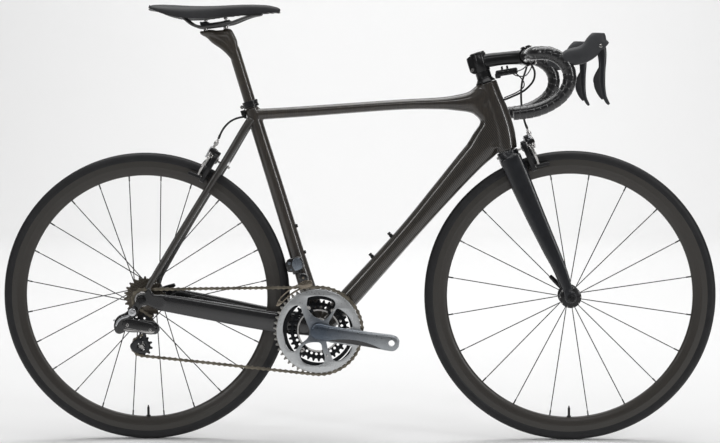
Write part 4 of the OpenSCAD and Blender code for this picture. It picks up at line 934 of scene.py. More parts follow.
tape = satin("gloss_bar_tape", (0.007, 0.007, 0.008), 0.28, 0.0, 420, 0.35, coat=0.7, spread=0.3)
p = Part()
for s in (1, -1):
    q = catmull(flip(bar_path, s), 6)[12:]
    wrapped(p, q, 15.0, 15.0, 1.25)
    e = place((351.6, s * 210, 756.45), (-0.994, s * 0.0166, -0.104))
    p.lathe([(0.02, 0), (14.4, 0), (14.8, 0.7), (14.2, 2.2), (12, 3.0), (4, 3.3), (0.02, 3.3)], 1, e, 48)
    d = unit(q[4] - q[0])
    p.lathe([(15.35, 0), (15.35, 14), (14.2, 14.4), (14.2, -0.4)], 1, place(q[0] - d * 0.5, d), 48,
            closed=True)
p.done("bar_tape_wraps", "steering", [tape, M["gloss"]], ["bar_tape"], smooth=70)

# hoods, levers and shift buttons
def hood_material():
    """Rubber with a pattern of small raised lozenges."""
    m = rubbery("ribbed_hood_rubber", (0.034, 0.035, 0.038), 0.52, 900, 0.25)
    n = Nodes(m)
    a = n.wave(90.0, at=n.turned(rot=(0, 35, 0)))
    b = n.wave(90.0, at=n.turned(rot=(0, -35, 0)), axis="Z")
    dots = n.math("MULTIPLY", n.ramp(a, 0.5, 0.9), n.ramp(b, 0.5, 0.9))
    n.bump(n.math("ADD", dots, n.math("MULTIPLY", n.noise(1800, 2), 0.4)), 0.45, 0.00025)
    return m


p = Part()
for s in (1, -1):
    y = s * HOOD_Y
    p.loft([[452, y, 873, -8, 27, 27], [462, y, 876, -4, 34, 30], [478, y, 878, 2, 38, 32],
            [494, y, 881, 10, 39, 31], [508, y, 888, 28, 40, 28.5], [518, y, 897, 48, 41, 27.5],
            [526.5, y, 909, 66, 42, 27], [530.5, y, 920, 80, 37, 25], [532, y, 928.5, 88, 27, 18]], n=44,
            power=2.35, step=7)
    p.loft([[512, y, 893, 2, 40, 26], [526, y, 899, -4, 38, 26], [540, y, 902, -22, 30, 25],
           [549, y, 900, -40, 20, 21]], n=40, power=2.4, step=6)
p.done("hood_pair", "steering", [hood_material()], ["lever_hoods"], remesh=1.1, relax=9)

p = Part()
for s in (1, -1):
    for x, z, r in ((536, 900, 3.6), (505, 884.5, 2.6)):
        p.lathe([(0.02, -1.2), (r, -1.2), (r + 0.2, 0), (r - 0.6, 0.7), (r * 0.55, 0.8), (r * 0.5, -0.2),
                (0.02, -0.3)], 0, place((x, s * HOOD_Y - 13.2, z), (0, -1, 0)), 28)
        p.lathe([(0.02, -1.2), (r, -1.2), (r + 0.2, 0), (r - 0.6, 0.7), (0.02, 0.8)], 0,
                place((x, s * HOOD_Y + 13.2, z), (0, 1, 0)), 28)
p.done("lever_pivot_screws", "steering", [M["steel"]])

for s, side in ((-1, "right"), (1, "left")):
    y = s * HOOD_Y
    p = Part()
    spine = [[538, y, 898, -92, 22, 11], [540, y, 884, -88, 20, 12], [541, y, 868, -88, 17, 12.5],
             [540.5, y, 850, -90, 15, 12.5], [540.5, y, 830, -88, 14, 12], [542, y, 810, -82, 12, 11.5],
             [546, y, 792, -72, 9.5, 10.5], [552, y, 779.5, -60, 8, 9], [556, y, 774.4, -56, 5, 5]]
    p.loft(spine, n=36, power=2.5, step=7)
    p.done(side + "_brake_blade", side + "_lever", [M["fork"]], ["brake_lever_" + side],
            remesh=0.7, relax=5)
    for which, pts in (("upper", [[536, y, 857, -98, 3, 8], [534, y, 848, -102, 9, 11],
                                  [531, y, 836, -98, 15, 12], [530, y, 828.5, -91, 17.5, 12],
                       [530.4, y, 822, -88, 17.5, 11]]), ("lower",
                                  [[530.6, y, 825, -88, 17, 11], [532, y, 814, -80, 17, 12],
                                  [535, y, 802, -70, 13, 11], [539.5, y, 791, -64, 8, 9],
                                  [542, y, 785.5, -62, 3, 6]])):
        p = Part()
        p.loft(pts, n=32, power=2.6, step=6)
        b = p.done(side + "_" + which + "_shift_paddle", "_".join((side, which, "button")), [M["plastic"]],
                   ["_".join((side, which, "button"))], remesh=0.6, relax=4)

# ---------------------------------------------------------------- housings and wires

front_housing = [[396, 52, 868], [393, 40, 858], [388, 22, 846], [382, 2, 830], [379, -10, 812],
                 [378, -18, 794], [379, -22, 774], [382, -24, 755], [386.2, -24, 736], [391.8, -24, 722]]
rear_housing = [[397, -52, 868], [402, -54, 860], [406, -54, 850], [406, -52, 838], [402, -49, 827],
                [394, -45, 817], [384, -39, 808], [372, -31, 801], [361, -25, 796], [352, -21, 793]]
wire_path = [[356, -6, 852], [368, -14, 846], [378, -20, 836], [384, -25, 826], [383, -28, 816],
             [374, -25, 808], [364, -20, 802], [355, -15, 799]]
frame_housing = [[-256, 2, 752], [-264, 0, 751], [-276, -5, 748], [-288, -11, 742], [-298, -17, 733],
                 [-306, -22, 722], [-311.5, -24.5, 711], [-315.4, -25, 702]]


def cable(part, path, r, mat=0, ends=True, n=18):
    """A cable along a path, with a ferrule on its far end."""
    q = catmull(path, 7)
    part.sweep(q, r, mat, n)
    if ends:
        d = unit(q[-1] - q[-3])
        part.lathe([(0.3, 1.5), (1.6, 1.4), (2.2, 0), (2.9, -0.6), (2.9, -8), (2.6, -8.6), (2.4, -8.6)],
                mat + 1, place(q[-1], d), 24)


p = Part()
cable(p, front_housing, 2.4)
p.done("front_brake_line", "steering", [M["cable"], M["black"]], ["front_brake_housing"])
p = Part()
cable(p, frame_housing, 2.4)
p.lathe([(2.5, 3), (4.6, 3), (4.8, -1), (3.4, -3.4), (2.5, -3.4)], 1,
        place((-256, 2, 752), (1, 0.1, 0.1)), 28, closed=True)
p.done("rear_brake_line", "frame", [M["cable"], M["black"]], ["rear_brake_housing"])

p = Part()
cable(p, rear_housing[:-1] + [[347, -18, 790], [337, -15, 787]], 2.4, 0, False)
cable(p, wire_path[:-1] + [[350, -10, 796], [340, -8, 792]], 1.35, 0, False, 12)
lines = p.done("steering_lines_run", None, [M["cable"], M["black"]], ["steering_lines"])
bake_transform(lines)

p = Part()
box_c = steer(522.6, 46)
j = place(box_c, up_h, fw_h) @ place((0, 0, 0), (math.sin(D(8)), 0, math.cos(D(8))), (1, 0, 0))
j = j @ place((6, 0, 1.5))
p.box((50, 22, 14), 0, j, 3.5)
p.box((44, 8, 1.2), 1, j @ place((0, -11.2, 0), (0, -1, 0), (1, 0, 0)), 0.5)
p.box((12, 18, 12), 0, j @ place((-21, 0, -5)), 2.5)
for k in (-9, 3):
    p.sweep([(j @ np.array([k, yy, zz, 1]))[:3] for yy, zz in ((-11, -5), (-12, 0), (-11, 5), (-7, 10),
             (0, 14), (7, 10), (11, 5), (12, 0), (11, -5), (6, -6), (-6, -6))], 1.1, 1, 8, closed=True,
             flat=2.0)
p.lathe([(0.02, 0), (2, 0), (2.4, 0.6), (1.6, 1.4), (0.02, 1.5)], 1,
        j @ place((10, -10.6, 0), (0, -1, 0)), 20)
p.done("wiring_box", "steering", [M["plastic"], M["gloss"]])

p = Part()
for s in (1, -1):
    cable(p, [[398, s * 52, 870], [399.5, s * 66, 872.5], [400, s * 90, 874.5], [400, s * 110, 875]], 2.2,
            0, False, 14)
cable(p, [[357, 6, 851], [368, 16, 852], [384, 26, 858], [396, 38, 868]], 1.3, 0, False, 12)
cable(p, [[357, 3, 849], [370, -2, 842], [388, -20, 842], [399, -38, 858], [399, -50, 868]], 1.3, 0,
        False, 12)
p.done("bar_cable_runs", "steering", [M["cable"]])

# ---------------------------------------------------------------- brakes


def caliper(end, front):
    """Both arms of one brake, with their pads and bolts."""
    lean = 23.3 if front else 31.15
    axle = FRONT if front else REAR
    s = -1 if front else 1
    up = vec(s * math.sin(D(lean)), 0, math.cos(D(lean)))
    out = vec(-s * math.cos(D(lean)), 0, math.sin(D(lean)))
    base = vec(axle[0], 0, axle[1]) + up * BRAKE_BOLT + out * (34 if front else 18)
    m = np.eye(4)                      # local X out from the frame, Y across, Z up the radius
    m[:3, 0], m[:3, 1], m[:3, 2], m[:3, 3] = out, vec(0, 1, 0), up, base
    face = m @ np.array([[0, 0, 1, 0], [1, 0, 0, 0], [0, 1, 0, 0], [0, 0, 0, 1.0]])   # local XY = (Y, Z)

    def arm(part, outline, x0, thick, mat, holes=()):
        """A flat arm in the caliper's face."""
        part.plate(smooth_line(outline, 6), thick, mat, face @ place((0, 0, x0 + thick / 2)), holes=holes,
                bevel=1.5, res=3)

    def turned(part, prof, y, z, x, mat, n=32):
        """A lathed piece at a point in the caliper's face."""
        part.lathe(prof, mat, face @ place((y, z, x)), n)

    def pad(part, side):
        """Shoe, rubber and bolt of one brake pad."""
        q = m @ place((19, side * 18.2, -51.6), (math.sin(D(9.9)), 0, math.cos(D(9.9))), (1, 0, 0))
        part.box((50, 6.4, 8), 0, q, 3.0)
        part.box((46, 2.4, 9), 2, q @ place((0, -side * 4.6, 0)), 1.1)
        for k in (-15, -5, 5, 15):
            part.box((1.2, 2.8, 9.2), 0, q @ place((k, -side * 4.2, 0)), 0.4)
        b = q @ place((-12, side * 2.6, 0), (0, side, 0))
        part.lathe([(0.02, -2), (4.6, -2), (5.2, 0), (4.9, 3.6), (3.8, 4.0), (3.8, 9.4), (3.2, 10),
                    (1.7, 10), (1.6, 7.6), (0.02, 7.4)], 1, b, 28)

    p = Part()
    arm(p, [(9, 3), (7, -7), (-2, -9.6), (-10, -6), (-21, 1), (-25, -10), (-24.5, -24), (-19, -40),
            (-16.5, -55), (-24, -59), (-31, -55), (-33.5, -40), (-38, -22), (-38.5, -5), (-37, 8),
        (-33, 15), (-25, 15.5), (-15, 10), (-4, 9.6), (5, 9)], 0.2, 10.6, 0)
    pad(p, -1)
    turned(p, [(0.02, 15.8), (1.9, 15.8), (2.0, 13.4), (4.0, 13.4), (5.0, 12.6), (5.0, 8.2), (2.9, 8.0),
               (2.9, -62 if front else -33), (0.02, -62 if front else -33)][::-1], 0, 0, 0, 1)
    turned(p, [(0.02, -1.4), (6.6, -1.4), (7.2, -0.8), (7.2, 0.3), (0.02, 0.3)], 0, 0, 0, 1)
    ax, az = (27, 14) if front else (21, 24)
    ad = m @ place((ax, -24, az), (0, 0.02, 1), (1, 0, 0))
    p.box((ax + 6, 11, 11), 0, m @ place((ax / 2 + 2, -26, az - 7)), 2.5)
    for path, r in ((((ax, -25, az - 2), (ax - 1, -28, az - 14), (ax - 4, -30, -8)), 3.4),
                    (((16, -31, 2), (20, -36, -14), (20, -36, -30), (19, -26, -46)), 2.8)):
        p.sweep([(m @ np.array([*v, 1]))[:3] for v in catmull(path, 5)], r, 1, 16, flat=1.3)
    p.lathe([(0.02, -4), (4.6, -4), (4.6, 1), (3.0, 1.6), (3.0, 7), (4.6, 7.6), (5.0, 8.4), (5.0, 15.6),
             (4.4, 16.4), (3.4, 17), (2.7, 18), (2.7, 22), (0.02, 22)], 1, ad, 36)
    p.lathe([(4.9, 9), (5.3, 9.4), (5.3, 14.6), (4.9, 15), (4.6, 15), (4.6, 9)], 1, ad, 24, closed=True)
    turned(p, [(0.02, 0), (4.8, 0), (5.2, 0.6), (5.0, 3.4), (4.0, 4.2), (2.2, 4.2), (2.0, 2.4),
            (0.02, 2.2)], -30, 5, 10.6, 1)
    arm(p, [(-24, -12), (-20, -14), (-15, -22), (-14, -33), (-17.5, -36), (-20, -28)], 1.4, 4.8, 0)
    p.done(end + "_caliper_inner", end + "_inner_arm", [M["black"], M["steel"], M["pad"]],
           [end + "_brake_inner_arm"], smooth=40)

    p = Part()
    arm(p, [(-30, 15.4), (-30.5, 22), (-22, 25), (-8, 22), (6, 20), (18, 20.5), (27, 19), (33.5, 10),
            (38.5, -6), (38, -22), (33.5, -40), (31, -55), (24, -59), (16.5, -55), (19, -40), (24.5, -24),
            (25, -9), (20, 1.5), (12, 8.5), (0, 11), (-14, 13), (-24, 13)], 12.0, 10.4, 0)
    pad(p, 1)
    turned(p, [(0.02, -1), (6.4, -1), (6.8, 0), (6.4, 2.2), (4.6, 3), (2.4, 3), (2.2, 1), (0.02, 0.8)],
            23, 11, 22.2, 1)
    turned(p, [(0.02, 0), (5.0, 0), (5.4, 0.8), (5.0, 2.8), (3.8, 3.6), (2.0, 3.6), (1.9, 1.6),
            (0.02, 1.5)], -25, 19, 22.2, 1)
    q = face @ place((-25, 19, 26.0))
    p.plate(smooth_line([(-4, 4.6), (4, 5.2), (6, 0), (6.6, -14), (4.2, -22), (0.5, -22), (-1, -12),
            (-5, -3)]), 3.2, 1, q, bevel=1.0)
    p.sweep([(m @ np.array([*c, 1]))[:3] for c in ((24, 20, 0), (26, 28, -8), (25, 33, -20),
            (24, 32, -34), (22, 26, -44))], 1.1, 1, 10)
    p.done(end + "_caliper_outer", end + "_outer_arm", [M["black"], M["silver"], M["pad"]],
           [end + "_brake_outer_arm"], smooth=40)


caliper("front", True)
caliper("rear", False)

# ---------------------------------------------------------------- drivetrain


def tooth_outline(n, high=3.2, low=3.75):
    """Outline of a chain wheel with n teeth."""
    r, out = pitch_r(n), []
    for i in range(n):
        for u, q in ((-0.5, r + high - 0.4), (-0.40, r + high - 0.3), (-0.30, r + 0.3),
                     (-0.22, r - low + 1.0), (-0.12, r - low + 0.1), (0, r - low), (0.12, r - low + 0.1),
                     (0.22, r - low + 1.0), (0.30, r + 0.3), (0.40, r + high - 0.3)):
            a = 2 * math.pi * (i + u) / n
            out.append((q * math.cos(a), q * math.sin(a)))
    return out


p = Part()
for i, t in enumerate(COGS):
    at = across(REAR, COG_Y + i * COG_STEP, 3)
    r = pitch_r(t)
    holes = [circle((0, 0), 15.4, 40)]
    if r - 8 > 24:
        k = 5 if t < 20 else 6
        mid, dr = (18.5 + r - 7) / 2 + 1, (r - 7 - 19.5) / 2 - 1.2
        for j in range(k * 2):
            a0, a1 = (j + 0.14) * 180 / k, (j + 0.86) * 180 / k
            holes.append(ring_pts((0, 0), mid + dr, a0, a1, 6) + ring_pts((0, 0), mid - dr, a1, a0, 6))
    p.plate(tooth_outline(t), 1.6, 0, at, holes=holes, bevel=0.25, res=1)
    if i < 10:
        p.lathe([(15.4, 0.8), (18.4, 0.8), (18.4, 2.92), (15.4, 2.92)], 1, at @ np.diag([1, 1, -1, 1.0]),
                40, closed=True)
at = across(REAR, 0)
p.lathe([(12.0, 22.6), (15.2, 22.6), (15.2, 62), (12.0, 62)], 1, at, 48, closed=True)
p.lathe([(8.6, 62), (17.4, 62), (17.5, 62.8), (16.6, 63.6), (13, 63.6), (12.6, 62.8), (8.6, 62.8)], 2, at,
        60, closed=True)
for j in range(24):
    p.box((1.0, 1.6, 0.5), 2, at @ place((15.2 * math.cos(D(15 * j)), 15.2 * math.sin(D(15 * j)), 63.5),
          (0, 0, 1), (math.cos(D(15 * j)), math.sin(D(15 * j)), 0)), 0.2)
p.lathe([(5.05, 52), (11.8, 52), (11.8, 60), (9, 61.6), (5.05, 61.6)], 1, at, 40, closed=True)
p.done("cassette_stack", "cassette", [M["cog"], M["black"], M["steel"]], ["cassette"], smooth=40)

# chainrings: five windows in the outer ring's disc
p = Part()
at = across(BB, RING_Y)
arms = [CRANK + a for a in (0, 63.5, 121.5, 238.5, 296.5)]
windows = [[(-82, 0), (-79, 24), (-68, 46), (-54, 58), (-43, 57), (-36, 42), (-28, 22), (-21, 2),
            (-24, -14), (-36, -26), (-46, -36), (-56, -47), (-68, -42), (-78, -24)],
           [(-24, 76), (-4, 81), (18, 79), (36, 71), (39, 60), (31, 44), (20, 30), (10, 25), (0, 29),
           (-12, 36), (-22, 48), (-27, 64)], [(42, 51), (56, 46), (70, 32), (78, 14), (72, 7), (48, 8),
           (28, 13), (24, 19), (31, 32)], [(-44, -54), (-38, -37), (-24, -28), (-6, -26), (5, -29),
           (9, -44), (14, -62), (9, -75), (-8, -80), (-28, -76), (-41, -66)],
                   [(18, -25), (30, -27), (48, -29), (66, -33), (76, -37), (70, -52), (56, -64),
                           (42, -69), (33, -66), (27, -52), (20, -38)]]
windows = [smooth_line(w, 5) for w in windows]
p.plate(tooth_outline(50), 1.9, 0, at, holes=[circle((0, 0), 88.5, 90)], bevel=0.3, res=1)
p.plate(circle((0, 0), 96.4, 160), 4.6, 3, at @ place((0, 0, 2.4)),
        holes=windows + [circle((0, 0), 12.1, 40)], bevel=1.3, res=3)
p.lathe([(84, -3.4), (90.5, -3.4), (91, -2.6), (91, 0.2), (84, 0.2)], 1, at, 140, closed=True)
at2 = across(BB, SMALL_Y)
slots = [circle((54.5 * math.cos(D(a)), 54.5 * math.sin(D(a))), 3.1, 16) for a in range(0, 360, 12)]
p.plate(tooth_outline(34), 1.9, 1, at2, holes=[circle((0, 0), 46, 80)] + slots, bevel=0.3, res=1)
p.lathe([(46, -1.6), (49.5, -1.6), (50, -0.8), (50, 2.6), (49.5, 3.2), (46, 3.2)], 2, at2, 120, closed=True)
p.lathe([(60, -1.6), (63.4, -1.6), (64, -0.8), (64, 2.4), (60, 2.8)], 1, at2, 120, closed=True)
p.lathe([(73.4, -2.4), (82, -2.4), (82, -0.4), (73.4, -0.4)], 1, at, 140, closed=True)
for a in arms[1:]:
    q = across(BB, 0) @ place((57 * math.cos(D(a)), 57 * math.sin(D(a)), 0))
    p.lathe([(0.02, 38), (3.9, 38), (4.6, 38.6), (4.6, 46), (0.02, 46)], 2, q, 28)
    q = across(BB, -44.3, a)
    p.plate(smooth_line([(44, -7), (58, -5.5), (70, -7), (85, -9), (85, 9), (70, 7), (58, 5.5), (44, 7)],
            4), 3, 1, q, bevel=0.8)
    q = across(BB, -51.3, a)
    p.lathe([(0.02, -2), (3.0, -2), (3.0, 0.2), (2.4, 0.6), (1.4, 0.6), (1.3, -0.6), (0.02, -0.6)], 2,
            q @ place((60, 0, 0)), 28)
p.done("chainring_pair", "crankset", [M["ring"], M["ring_dark"], M["steel"], M["face"]],
        ["chainrings"], smooth=35)


def crank_arm(name, side, node):
    """One crank arm with its pedal eye."""
    p = Part()
    s = -1 if side == "right" else 1
    ang = CRANK if side == "right" else CRANK + 180
    c, sn = math.cos(D(ang)), math.sin(D(ang))

    def sec(r, y, deep, wide):
        return [BB[0] + r * c, s * y, BB[1] + r * sn, ang, deep, wide]
    k = 50 if side == "right" else 45
    secs = [sec(-17, k + 9, 17, 12), sec(-11, k + 9, 31, 15), sec(0, k + 9, 38.5, 16),
            sec(14, k + 9.4, 37, 15.6), sec(40, k + 11, 35, 14), sec(75, k + 12.6, 34.5, 13),
            sec(110, k + 13.8, 35, 12.8), sec(140, k + 15.2, 36.5, 12.6), sec(158, k + 16.2, 38, 12.5),
            sec(172, k + 16.8, 37.5, 12.4), sec(181, k + 17.0, 31, 12.2), sec(187.5, k + 17, 14, 10)]
    p.loft(secs, n=52, power=3.0, step=6)
    q = place((BB[0] + 170 * c, s * (k + 16.6), BB[1] + 170 * sn), (0, s, 0))
    p.done("tmp", None, [M["grey"]], remesh=0.9, relax=16)
    ob = bpy.data.objects["tmp"]
    hole = Part()
    hole.lathe([(0.02, -14), (7.14, -14), (7.14, 14), (0.02, 14)], 0, q, 64)
    cut = hole.done("cut", None, [M["black"]])
    b = ob.modifiers.new("b", "BOOLEAN")
    b.operation, b.object, b.solver = "DIFFERENCE", cut, "EXACT"
    me = bpy.data.meshes.new_from_object(ob.evaluated_get(bpy.context.evaluated_depsgraph_get()))
    ob.modifiers.clear()
    ob.data = me
    bpy.data.objects.remove(cut)
    me.materials.clear()
    me.materials.append(M["arm"])
    me.materials.append(M["gloss"])
    for f in me.polygons:
        r = (f.center.x * 1000 - BB[0]) * c + (f.center.z * 1000 - BB[1]) * sn
        t = (f.center.z * 1000 - BB[1]) * c - (f.center.x * 1000 - BB[0]) * sn
        f.use_smooth = True
        # Right arm: faces below this curved line along the lower side take gloss black, painted shade for
        # the arm's shaded underside; the rest keeps the arm material.
        edge = 13 * max(0.0, math.sin(math.pi * min(1.0, max(0.0, (r - 24) / 126)))) ** 0.7 - 18.5
        f.material_index = 1 if side == "right" and t < edge else 0
    me.set_sharp_from_angle(angle=D(50))
    ob.name = name
    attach(ob, "crankset")
    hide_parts(node)
    return ob


crank_arm("crank_arm_right", "right", "right_crank")
crank_arm("crank_arm_left", "left", "left_crank")
p = Part()
q = across(BB, 0)
p.lathe([(9.9, -62), (12, -62), (12, 54), (9.9, 54)], 0, q, 64, closed=True)
p.lathe([(0.02, -62.6), (9.6, -62.6), (12.6, -63.4), (13.0, -64.6), (12.2, -65.6), (6.0, -65.6),
        (5.6, -64.2), (0.02, -64.2)], 1, q, 60)
p.done("crank_spindle", "crankset", [M["steel"], M["black"]])

# ---------------------------------------------------------------- chain

WHEELS = [(REAR, pitch_r(11), COG_Y), (BB, pitch_r(50), RING_Y), (TENSION, pitch_r(11), COG_Y),
        (GUIDE, -pitch_r(11), COG_Y)]


def run_angle(a, b):
    """Direction of the straight chain between two wheels."""
    d = vec(*b[0]) - vec(*a[0])
    return math.atan2(d[1], d[0]) - math.asin((a[1] - b[1]) / np.linalg.norm(d))


loop = []
for i, w in enumerate(WHEELS):
    a0, a1 = run_angle(WHEELS[i - 1], w), run_angle(w, WHEELS[(i + 1) % 4])
    s = 1 if w[1] > 0 else -1
    sweep = (s * (a0 - a1)) % (2 * math.pi)
    for k in range(41):
        a = a0 - s * sweep * k / 40
        loop.append((w[0][0] - w[1] * math.sin(a), w[2], w[0][1] + w[1] * math.cos(a)))
loop = np.array(loop + loop[:1])
seg = np.linalg.norm(np.diff(loop, axis=0), axis=1)
run = np.concatenate([[0], np.cumsum(seg)])
links = int(round(run[-1] / LINK / 2)) * 2
pins = []
for k in range(links):
    s = run[-1] * k / links
    i = min(int(np.searchsorted(run, s, "right")) - 1, len(seg) - 1)
    t = (s - run[i]) / max(seg[i], 1e-9)
    pins.append(loop[i] + (loop[i + 1] - loop[i]) * t)
pins = np.array(pins)


def link_outline(d):
    """Outline of a chain plate that is d long between its pins."""
    return (ring_pts((-d / 2, 0), 4.0, 60, 300, 8) + [(-d * 0.16, -2.7), (0, -2.35), (d * 0.16, -2.7)]
            + ring_pts((d / 2, 0), 4.0, 240, 480, 8) + [(d * 0.16, 2.7), (0, 2.35), (-d * 0.16, 2.7)])


p = Part()
side_plate = Part().plate(link_outline(LINK), 0.85, bevel=0.25, res=1)
plate_v, plate_f = np.vstack(side_plate.v), side_plate.f
for k in range(links):
    a, b = pins[k], pins[(k + 1) % links]
    c, x = (a + b) / 2, unit(b - a)
    m = place(c, (0, -1, 0), x)
    y0 = 1.95 if k % 2 else 1.05
    for s in (1, -1):
        p.add(plate_v, plate_f, 0 if k % 2 else 1, m @ place((0, 0, s * y0)))
    q = place(a, (0, -1, 0), x)
    p.lathe([(0.02, -2.55), (1.3, -2.5), (1.7, -2.3), (1.7, 2.3), (1.3, 2.5), (0.02, 2.55)], 1, q, 10)
    p.lathe([(3.8, -0.62), (3.8, 0.62)], 1, q, 14)
p.done("chain_links", "frame", [M["chain"], M["chain"]], ["chain"], smooth=45)

# ---------------------------------------------------------------- rear derailleur

p = Part()
q = across(HANGER, 0)
p.lathe([(5.3, 72.4), (10.4, 72.4), (11, 73.2), (11, 82.2), (10.2, 83), (5.3, 83)], 0, q, 56, closed=True)
p.lathe([(0.02, 64.2), (4.95, 64.2), (4.95, 83.4), (8.6, 83.6), (9.1, 84.3), (8.9, 86.2), (7.6, 87.0),
         (4.2, 87.0), (3.9, 85.2), (0.02, 85.0)], 1, q, 56)
body = smooth_line([(-503, 314), (-500, 301), (-508, 293), (-516, 288), (-520, 278), (-528, 264),
                    (-540, 257.5), (-550, 261), (-554, 274), (-551, 288), (-543, 299), (-528, 306),
                    (-517, 314)], 6)
p.plate(body, 9.6, 2, across((0, 0), -77.4), bevel=3.0, res=4)
p.plate(smooth_line([(-523, 283), (-531, 268), (-541, 261.5), (-551.5, 264), (-554, 275), (-549, 286),
        (-540, 293), (-530, 293)], 6), 13, 2, across((0, 0), -72.6), bevel=3.2, res=4)
p.plate(smooth_line([(-513, 304), (-522, 301), (-536, 297), (-546, 288), (-550, 277), (-546.5, 276),
        (-542, 285), (-533, 292), (-519, 296)], 6), 1.6, 1, across((0, 0), -82.4), bevel=0.7, res=2)
p.lathe([(0.02, 0), (3.0, 0), (3.4, 0.5), (3.0, 1.6), (0.02, 1.8)], 1, across((-544, 270), -79.2), 28)
p.lathe([(0.02, 0), (2.2, 0), (2.6, 0.5), (2.2, 1.4), (0.02, 1.6)], 1, across((-519, 300), -82.4), 24)
for z in (-1, 1):
    p.lathe([(0.02, 0), (2.0, 0), (2.1, 5), (1.6, 5.6), (0.02, 5.6)], 1,
            place((-551, -72 + z * 3.2, 286), (-0.8, 0, 0.6)), 18)
p.done("derailleur_upper_knuckle", "frame", [M["black"], M["silver"], M["gloss"]],
        ["rear_derailleur_mount"])

wire = [(-440, -66, 318), (-455, -73, 300), (-474, -78.5, 285), (-492, -81, 283), (-508, -80, 287),
        (-518, -77, 290)]
p = Part()
cable(p, wire, 1.2, 0, False, 10)
p.lathe([(1.3, -2), (2.8, -1.6), (3.0, 0.6), (2.0, 1.6), (1.3, 1.8)], 0,
        place((-440, -66, 318), (0.6, 0.3, 0.6)), 20, closed=True)
p.done("derailleur_wire", "frame", [M["cable"]])

p = Part()
x0, z0, x1, z1 = -521, 279, -469, 267
p.plate(smooth_line([(-532, 288), (-520, 294), (-500, 291), (-482, 287), (-466, 283), (-456, 274),
                     (-455, 264), (-463, 257.5), (-476, 258), (-494, 262), (-512, 262), (-528, 266),
                     (-534, 276)], 6), 5.0, 0, across((0, 0), -86.4), bevel=2.3, res=4)
p.plate(smooth_line([(-530, 268), (-512, 264.5), (-494, 264), (-476, 260.4), (-463, 260), (-459, 265),
                     (-468, 264.6), (-484, 266.6), (-508, 270), (-526, 273)], 6), 1.2, 2,
                     across((0, 0), -88.8), bevel=0.5)
for x, z in ((x0, z0), (x1, z1)):
    p.lathe([(0.02, 0), (3.8, 0), (4.1, 0.6), (3.4, 1.6), (1.6, 1.7), (1.4, 0.8), (0.02, 0.8)], 2,
            across((x, z), -87.8), 28)
p.done("derailleur_link_plate", "derailleur_links", [M["gloss"], M["black"], M["steel"]],
        ["rear_derailleur_links"])

p = Part()
p.plate(smooth_line([(-451, 278), (-449, 266), (-456, 257.5), (-468, 257), (-482, 264), (-498, 272),
                     (-500, 285), (-490, 290), (-474, 288), (-460, 286)], 6), 9.5, 0,
                     across((0, 0), -77.0), bevel=3.0, res=4)
p.lathe([(0.02, 0), (4.4, 0), (4.8, 0.6), (4.0, 1.8), (2.2, 1.9), (2.0, 0.8), (0.02, 0.8)], 1,
        across((-488, 280), -81.2), 30)
p.done("derailleur_lower_knuckle", "derailleur_knuckle", [M["gloss"], M["steel"]],
        ["rear_derailleur_knuckle"])

p = Part()
for y, pts in ((-65.4, [(-489, 291.5), (-500, 286), (-501, 275), (-497, 262), (-502, 247), (-513, 238),
                        (-520, 228), (-515, 217), (-503, 211.5), (-489, 211), (-479, 217), (-476.5, 229),
                        (-480, 241), (-484, 252), (-482, 263), (-478, 272), (-479, 285)]),
               (-56.6, [(-489, 288), (-497, 281), (-497, 270), (-495, 256), (-503, 240), (-508, 228),
                        (-503, 216), (-492, 212), (-481, 217), (-478, 228), (-482, 242), (-484, 256),
                        (-482, 270), (-481, 282)])):
    ang = [(k * 120 + 12, k * 120 + 96) for k in range(3)]
    holes = [circle(GUIDE, 3.0, 20), circle(TENSION, 3.0, 20)] + [
             [(TENSION[0] + q[0], TENSION[1] + q[1]) for q in ring_pts((0, 0), 10.5, a, b,
             8) + ring_pts((0, 0), 5.4, b, a, 8)] for a, b in ang] + [
             smooth_line([(-492, 261), (-489.5, 252), (-491, 244), (-497, 243), (-496.5, 253)], 5)]
    p.plate(smooth_line(pts, 6), 1.5, 0, across((0, 0), y), holes=holes, bevel=0.6)
for c in (GUIDE, TENSION):
    p.lathe([(0.02, 55.6), (3.4, 55.6), (3.75, 56), (3.75, 65.9), (4.6, 66.2), (4.8, 67.6), (4.0, 68.4),
            (2.2, 68.4), (2.0, 67), (0.02, 67)], 1, across(c, 0), 30)
p.lathe([(0.02, 66), (5, 66), (5, 70.6), (0.02, 70.6)], 1, across(GUIDE, 0), 24)
p.done("derailleur_pulley_cage", "derailleur_cage", [M["fork"], M["steel"]],
        ["rear_derailleur_cage"])
for nm, c in (("guide", GUIDE), ("tension", TENSION)):
    p = Part()
    hs = [circle((0, 0), 3.9, 30)] + [circle((11.2 * math.cos(D(a)), 11.2 * math.sin(D(a))), 2.6,
            14) for a in range(0, 360, 72)]
    p.plate(tooth_outline(11, 2.6, 3.6), 2.1, 0, across(c, COG_Y, 5), holes=hs, bevel=0.4)
    for s in (1, -1):
        p.lathe([(3.9, s * 0.9), (7.4, s * 0.9), (7.2, s * 1.9), (3.9, s * 2.0)], 1, across(c, COG_Y), 36,
                closed=True)
    p.done(nm + "_pulley_wheel", nm + "_pulley", [M["plastic"], M["steel"]],
            [nm + "_pulley"])

# ---------------------------------------------------------------- front derailleur

